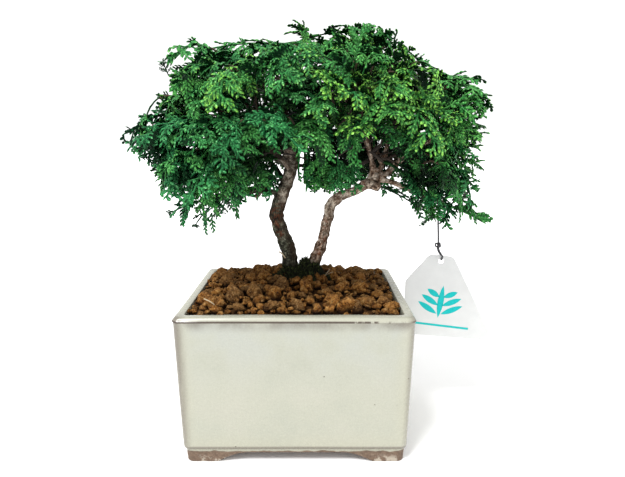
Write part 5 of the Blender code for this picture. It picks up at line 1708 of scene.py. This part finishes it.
# Sprays beside the trunks and out of the crown's ends: where they start, which way they point, how
# long they are and what share of the crown's shade they lie in.
HANGING = [((8, -16, 197), (-0.02, -0.22, -0.97), 27, 0.2),
           ((14, -22, 202), (0.05, -0.25, -0.96), 27, 0.1),
           ((20, -15, 196), (0.10, -0.20, -0.97), 27, 0.2),
           ((28, -20, 199), (0.12, -0.25, -0.96), 27, 0.1),
           ((36, -13, 197), (0.22, -0.20, -0.95), 22, 0.3),
           ((3, -20, 205), (-0.10, -0.30, -0.93), 22, 0.1),
           ((6, -6, 205), (0.02, -0.10, -0.98), 25, 0.4),
           ((-24, -12, 199), (-0.15, -0.25, -0.95), 26, 0.9),
           ((-32, -14, 200), (-0.20, -0.30, -0.93), 27, 0.7),
           ((-20, 4, 190), (-0.10, -0.10, -0.98), 22, 0.9),
           ((-16, -5, 197), (-0.12, -0.08, -0.98), 25, 0.9),
           ((-40, -8, 194), (-0.10, -0.20, -0.96), 26, 0.7),
           ((103, -10, 166), (0.95, -0.10, -0.30), 36, 0.0),
           ((90, -14, 172), (0.55, -0.25, -0.80), 28, 0.1),
           ((-97, -8, 224), (-0.85, -0.10, -0.50), 33, 0.1),
           ((67, -4, 258), (-0.12, -0.05, 0.99), 22, 0.0),
           ((-84, -6, 252), (-0.30, -0.10, 0.95), 16, 0.1),
           ((-3, -12, 224), (-0.05, -0.12, -0.99), 21, 0.7),
           ((-11, -10, 220), (-0.20, -0.10, -0.97), 22, 0.9),
           ((4, -14, 223), (0.15, -0.15, -0.97), 22, 0.5),
           ((-17, -8, 212), (-0.15, -0.10, -0.98), 22, 0.9)]
HANGING_REACH, HANGING_DROOPS, HANGING_TWIST = 0.42, (0.2, 0.5), (-30, 30)
GAP_FILLERS = 45            # more small sprays, where most of the background shows through
GAP_CELL = 4.0              # size on the plane y = 0 of the cells that they are counted in
CANDIDATES = 2600
STALK = (3, 20)             # length of the twig that carries a small spray
FILLER_LENGTH, FILLER_REACH, FILLER_DROOPS = (24, 33), (0.37, 0.43), (0.45, 1.15)
FILLER_SAG, FILLER_TWIST = (8, 38), (-28, 28)       # in degrees
FILLER_SPREAD = 0.42        # of its stalk's direction
FILLER_RISE, FILLER_LIFT, FILLER_ALONG = 1.1, 0.12, 0.75
STALK_ARCH = 0.12           # of a stalk's length
FILLER_ROOM, TRUNK_ROOM = 0.5, 0.8
TIP_INSIDE, ROOT_INSIDE = 1.5, 4
STEM_RADII, TWIG_RADII = [1.15, 1.1, 0.95], [1.3, 1.25, 1.15]
STALK_RADII = [0.75, 0.7, 0.65, 0.6, 0.55]


def line_at(line, place):
    return np.interp(place, [a for a, _ in line], [b for _, b in line])


def seen_place(points):
    """Where the camera sees points on the plane y = 0: x and z."""
    eye = np.array(CAMERA_AT)
    seen = eye + (points - eye) * (eye[1] / (eye[1] - points[:, 1:2]))
    return seen[:, [0, 2]].T


def past_edge(points, slack):
    """Which points are seen further than this outside the crown's outline."""
    x, z = seen_place(points)
    return ((z > line_at(TOP_EDGE, x) + slack) | (z < line_at(LOW_EDGE, x) - slack)
            | (x > line_at(RIGHT_EDGE, z) + slack) | (x < line_at(LEFT_EDGE, z) - slack))


def in_window(points, slack):
    """Which points hide a place where the wood shows, further in than this."""
    x, z = seen_place(points)
    inside = np.zeros(len(points), bool)
    for low, high in WINDOWS:
        inside |= (x > low[0] + slack) & (x < high[0] - slack) & (z > low[1]) & (z < high[1] - slack)
    return inside & (points[:, 1] < WINDOW_BEHIND)


def trimmed(frond):
    """A frond cut back until its tip is inside the crown's outline, and whether that was enough."""
    for share in (1.0, 0.9, 0.8, 0.7, 0.6):
        inside = not past_edge(rows([frond_at(frond, share)]), TIP_SLACK)[0]
        if inside:
            break
    return dict(frond, length=share * frond["length"], reach=(0.4 + 0.6 * share) * frond["reach"],
                droop=share * frond["droop"]), inside


def grown_spray(frond, kind, spray, rng):
    """A spray on its frond, without the shoots that stray past the outline or are thinned out."""
    points, faces, numbers, shoots, parents = spray
    frond, inside = trimmed(frond)
    made = bent_spray(frond, kind, points)
    thin = THIN_SHARE if frond_at(frond, 0.6).z < THIN_BELOW else 0.0
    gone = np.array([parent == 0 and rng.random() < thin for parent in parents])
    slack = np.array([rng.uniform(*EDGE_SLACK) for _ in parents])
    past = np.unique(shoots[past_edge(made, slack[shoots])])
    if inside and len(past) < MOST_PAST * len(parents):
        gone[past] = True
    reach_in = np.array([WINDOW_SLACK * rng.random() ** 2 for _ in parents])
    gone[np.unique(shoots[in_window(made, reach_in[shoots])])] = True
    gone[0] = False
    gone |= gone[parents]
    keep = ~gone[shoots]
    place = np.cumsum(keep) - 1
    return made[keep], place[faces[keep[faces[:, 0]]]], numbers[:, keep]


def in_crown(point, margin):
    """Whether a point lies in the crown, this far inside its surface."""
    share = 1 - min(1.0, abs(point.y) / (CROWN_HALF_DEPTH - margin)) ** CROWN_FULLNESS
    share = share ** (1 / CROWN_FULLNESS)
    top = CROWN_MIDDLE + (line_at(TOP_LINE, point.x) - CROWN_MIDDLE) * share - margin
    left = line_at(LEFT_LINE, point.z) * share + margin
    right = line_at(RIGHT_LINE, point.z) * share - margin
    return line_at(LOW_LINE, point.x) < point.z < top and left < point.x < right


def depth_in_crown(points):
    """How deep points lie in the crown, as the share of painted shade that they take: 0 at its surface, 1
    well inside.
    """
    away = points - np.array(CROWN_CENTRE)
    wide = np.where(away[:, 0] > 0, CROWN_RIGHT, CROWN_LEFT)
    tall = np.where(away[:, 2] > 0, CROWN_UP, SHADE_DOWN)
    reaches = (wide, SHADE_FRONT, tall)
    share = sum((np.abs(away[:, k]) / reaches[k]) ** SHADE_FULLNESS for k in range(3))
    share = share ** (1 / SHADE_FULLNESS)
    deep = np.clip((SHADE_START - share) / SHADE_REACH, 0, 1)
    for middle, reach in HOLLOWS:
        far = np.linalg.norm((points - np.array(middle)) / np.array(reach), axis=1)
        deep = np.maximum(deep, np.clip(2.2 - 2.2 * far, 0, 0.85))
    return deep


def small_frond(origin, axis, normal, length, reach, droops, rng):
    """A small spray's frond. Its reach is a share of its length."""
    return {"origin": origin, "axis": axis, "normal": normal if normal.z > 0 else -normal,
            "length": length, "reach": reach * length, "lobes": 3,
            "droop": rng.uniform(*droops), "cup": rng.uniform(*CUPS), "root": 2.0}


def twig_lengths(stems):
    """Lengths of the twigs, fronds and limbs that a small spray may start from, each as its two ends
    and the number of the stem that it belongs to or is nearest to."""
    lengths = []

    def add(line, number):
        lengths.extend((a, b, number) for a, b in zip(line, line[1:]))

    for number, stem in enumerate(stems):
        add((smooth_route(stem["twig"], 4) + [Vector(point) for point in stem["route"]])[2:], number)
        for frond in stem["fronds"]:
            add([frond_at(frond, share) for share in (0.1, 0.4, 0.7)], number)
    for points, _, _ in LIMBS.values():
        route = smooth_route(points, 3)[4:]
        for a, b in zip(route, route[1:]):
            add([a, b], min(range(len(stems)), key=lambda k: (stems[k]["twig"][-1] - a).length))
    return lengths + EAGER * [entry for entry in lengths if in_boxes(entry[0], EAGER_SPACES)]


def filler_fronds(stems, keep_out, rng):
    """Smaller sprays on side twigs, where the crown is still empty: (frond, stalk, stem number)."""
    carriers = twig_lengths(stems)
    centre = Vector(CROWN_CENTRE)
    found = []
    for _ in range(CANDIDATES):
        a, b, number = carriers[rng.randrange(len(carriers))]
        root = a.lerp(b, rng.random())
        away = root - centre
        away = unit((away.x / CROWN_RIGHT, away.y / CROWN_FRONT,
                     FILLER_RISE * away.z / CROWN_UP + FILLER_LIFT))
        way = unit(away + FILLER_ALONG * unit(b - a) + drawn(rng.gauss, 0, FILLER_SPREAD))
        long = rng.uniform(*STALK)
        origin = root + long * way
        axis = sagged(way, rng.uniform(*FILLER_SAG)) if abs(way.z) < 0.95 else way
        length = rng.uniform(*FILLER_LENGTH)
        normal = turned(square_to(facing(away), axis), axis, rng.uniform(*FILLER_TWIST))
        reach = rng.uniform(*FILLER_REACH)
        frond = small_frond(origin, axis, normal, length, reach, FILLER_DROOPS, rng)
        ends = [frond_at(frond, share, side * 0.8 * frond["reach"])
                for share, side in ((0.5, -1), (0.5, 1), (1.0, 0))]
        if not all(in_crown(end, TIP_INSIDE) for end in ends) or not in_crown(origin, ROOT_INSIDE):
            continue
        if any(in_boxes(end, FILLER_SPACES) for end in ends + [origin]):
            continue
        if keep_out.crosses(frond_blade(frond, FILLER_ROOM)):
            continue
        stalk = [root, root.lerp(origin, 0.5) + STALK_ARCH * long * UP, origin]
        found.append((frond, stalk, number))
    middles = rows([frond_at(frond, 0.55) for frond, _, _ in found])
    fronds = [frond for stem in stems for frond in stem["fronds"]]
    far = np.min([np.linalg.norm(middles - np.array(frond_at(frond, share)), axis=1)
                  for frond in fronds for share in (0.3, 0.75)], axis=0)
    chosen = []
    for _ in range(min(FILLERS, len(found))):
        best = int(np.argmax(far))
        chosen.append(found[best])
        far = np.minimum(far, np.linalg.norm(middles - middles[best], axis=1))
        far[best] = 0
    chosen += hanging_sprays(carriers, rng)
    return chosen + gap_fillers(fronds, chosen, found)


def hanging_sprays(carriers, rng):
    """The sprays set one by one, each on a twig from the nearest branch."""
    made = []
    for start, way, length, shade in HANGING:
        origin, axis = Vector(start), unit(way)
        root, _, number = min(carriers, key=lambda carrier: (carrier[0] - origin).length)
        normal = turned(square_to(Vector((0, -1, 0.4)), axis), axis, rng.uniform(*HANGING_TWIST))
        frond = small_frond(origin, axis, normal, length, HANGING_REACH, HANGING_DROOPS, rng)
        frond["shade"] = shade
        made.append((frond, [root, root.lerp(origin, 0.5) + UP, origin], number))
    return made


def cells_behind(frond):
    """The cells of the picture that a frond covers."""
    points = [frond_at(frond, share, side * frond["reach"])
              for share, wide in ((0.1, 0.3), (0.3, 0.7), (0.5, 0.8), (0.7, 0.7), (0.9, 0.3))
              for side in (-wide, -0.5 * wide, 0, 0.5 * wide, wide)]
    x, z = seen_place(rows(points)) // GAP_CELL
    return set(zip(x.tolist(), z.tolist()))


def gap_fillers(fronds, chosen, found):
    """Those of the sprays not yet chosen that cover the most open cells inside the crown's outline."""
    covered = set()
    for frond in fronds + [frond for frond, _, _ in chosen]:
        covered |= cells_behind(frond)
    taken = {id(entry) for entry in chosen}
    left = [(entry, cells_behind(entry[0])) for entry in found if id(entry) not in taken]
    added = []
    for _ in range(GAP_FILLERS):
        entry, cells = max(left, key=lambda pair: len(pair[1] - covered))
        if not cells - covered:
            break
        covered |= cells
        added.append(entry)
    return added


def leaf_paint():
    """Glossy scale leaves: dark where they meet, with painted light and highlights on their ridges,
    painted shade on their sides and undersides and deep in the crown, yellow-green where young.
    """
    paint = Paint("scale_leaves", roughness=0.5, specular_ior_level=0.07)
    between, number = paint.between, paint.number
    mottle, scales, ridge = paint.noise(6, 3, 0.6), paint.cells(1.2), number("ridge")
    old = paint.ramp(mottle, (0.3, (0.012, 0.15, 0.048)), (0.55, (0.042, 0.29, 0.090)),
                     (0.8, (0.11, 0.46, 0.155)))
    warm = paint.ramp(mottle, (0.3, (0.030, 0.235, 0.040)), (0.8, (0.16, 0.53, 0.11)))
    body = paint.mix(between(number("hue"), 0.3, 0.9), old, warm)
    young = paint.ramp(mottle, (0.3, (0.18, 0.54, 0.050)), (0.8, (0.40, 0.78, 0.135)))
    fresh = paint.plus(number("fresh"), paint.times(paint.math("SUBTRACT", mottle, 0.5), 0.35))
    body = paint.mix(between(fresh, 0.28, 0.85), body, young)
    # Painted highlights on the scales along each strip's lit ridge.
    ridge_highlight = paint.times(between(scales, 0.10, 0.34, False), between(ridge, 0.45, 0.95))
    body = paint.over(body, (0.48, 0.78, 0.42), ridge_highlight, 0.6)
    body = paint.over(body, (0.004, 0.044, 0.014), between(scales, 0.34, 0.66), 0.66)
    # Painted shade on each strip's sides and underside.
    body = paint.over(body, (0.0006, 0.012, 0.004), between(ridge, 0.08, 0.76, False), 0.97)
    # Painted shade deep in the crown.
    body = paint.over(body, (0.0002, 0.003, 0.001), number("deep"), 0.97)
    return paint.coat(body, scales, 0.3)


def twig_paint():
    """Thin reddish-brown bark, paler where it is worn, with painted shade deep in the crown."""
    paint = Paint("twig_bark", roughness=0.8)
    grain = paint.noise(1.3, 5, 0.65)
    colour = paint.ramp(grain, (0.3, (0.035, 0.020, 0.012)), (0.6, (0.10, 0.060, 0.036)),
                        (0.8, (0.17, 0.11, 0.07)))
    # Painted shade deep in the crown.
    colour = paint.over(colour, (0.009, 0.007, 0.004), paint.number("deep"), 0.85)
    return paint.coat(colour, grain, 0.2)


def make_foliage(name, stem, smalls, sprays, rng):
    """A leafy stem's own sprays and the small ones nearest to it, as one piece.

    Stems are fresher and warmer in colour high up and to the right."""
    x, _, z = stem["route"][-1]
    sunny = np.clip((x + 105) / 105, 0.15, 1) * np.clip((z - 165) / 45, 0.35, 1)
    bright = rng.uniform(0.35, 1.0) * (0.25 + 0.75 * sunny)
    hue = 0.45 * rng.random() + 0.55 * sunny
    parts = [(frond, "lateral" if k else "terminal") for k, frond in enumerate(stem["fronds"])]
    parts += [(frond, "small") for frond in smalls]
    heap, start = [], 0
    for frond, kind in parts:
        spray = sprays[kind][rng.randrange(len(sprays[kind]))]
        made, faces, (young, lit) = grown_spray(frond, kind, spray, rng)
        fresh = young * bright * rng.uniform(0.6, 1.25)
        tone = min(1, max(0, hue + rng.uniform(-0.25, 0.25)))
        heap.append((made, faces + start, fresh, lit, np.full(len(made), tone),
                     frond.get("shade", 1) * depth_in_crown(made)))
        start += len(made)
    made, faces = tube(smooth_route(stem["route"], 4), spread(STEM_RADII, 4), 8, stem["direction"])
    made, same = rows(made), np.ones(len(made))
    heap.append((made, np.array(faces) + start, 0 * same, 0.4 * same, hue * same,
                 depth_in_crown(made)))
    points, faces, *values = [np.concatenate(column) for column in zip(*heap)]
    numbers = dict(zip(("fresh", "ridge", "hue", "deep"), values))
    return mesh_piece(name, points, faces, numbers, smooth=70)


def make_tree():
    """The wood with its twigs, and one piece of fine foliage for each leafy stem."""
    stems = grow_crown()
    rng = random.Random(TREE_SEED)
    finish_piece(make_trunks(), "bark", bark_paint(), "trunk_and_branches")
    keep_out = Thicket(*string_space())
    for route, radii in ((LEFT_TRUNK, LEFT_RADII), (RIGHT_TRUNK, RIGHT_RADII)):
        keep_out.add(tube(route, [radius + TRUNK_ROOM for radius in radii], 8))
    sprays = make_sprays()
    fillers = filler_fronds(stems, keep_out, rng)
    leaves = leaf_paint()
    twigs = []
    for number, stem in enumerate(stems):
        name = "%02d" % (number + 1)
        smalls = [frond for frond, _, owner in fillers if owner == number]
        foliage = make_foliage("foliage_" + name, stem, smalls, sprays, rng)
        finish_piece(foliage, "foliage", leaves, "leafy_stem_" + name)
        twigs.append(rough_tube(smooth_route(stem["twig"], 5), spread(TWIG_RADII, 5), 9, number))
    twigs += [tube(smooth_route(stalk, 2), STALK_RADII, 5) for _, stalk, _ in fillers]
    points, faces = joined(twigs)
    numbers = {"deep": depth_in_crown(np.array(points))}
    finish_piece(mesh_piece("twigs", points, faces, numbers, smooth=180), "bark", twig_paint())


def main():
    for old in list(bpy.data.objects):
        if old.name in ("Cube", "Light", "Camera"):
            bpy.data.objects.remove(old)
    make_camera()
    make_string()
    make_studio()
    make_pot()
    make_stones()
    make_soil()
    make_moss()
    make_straws()
    make_tree()


main()
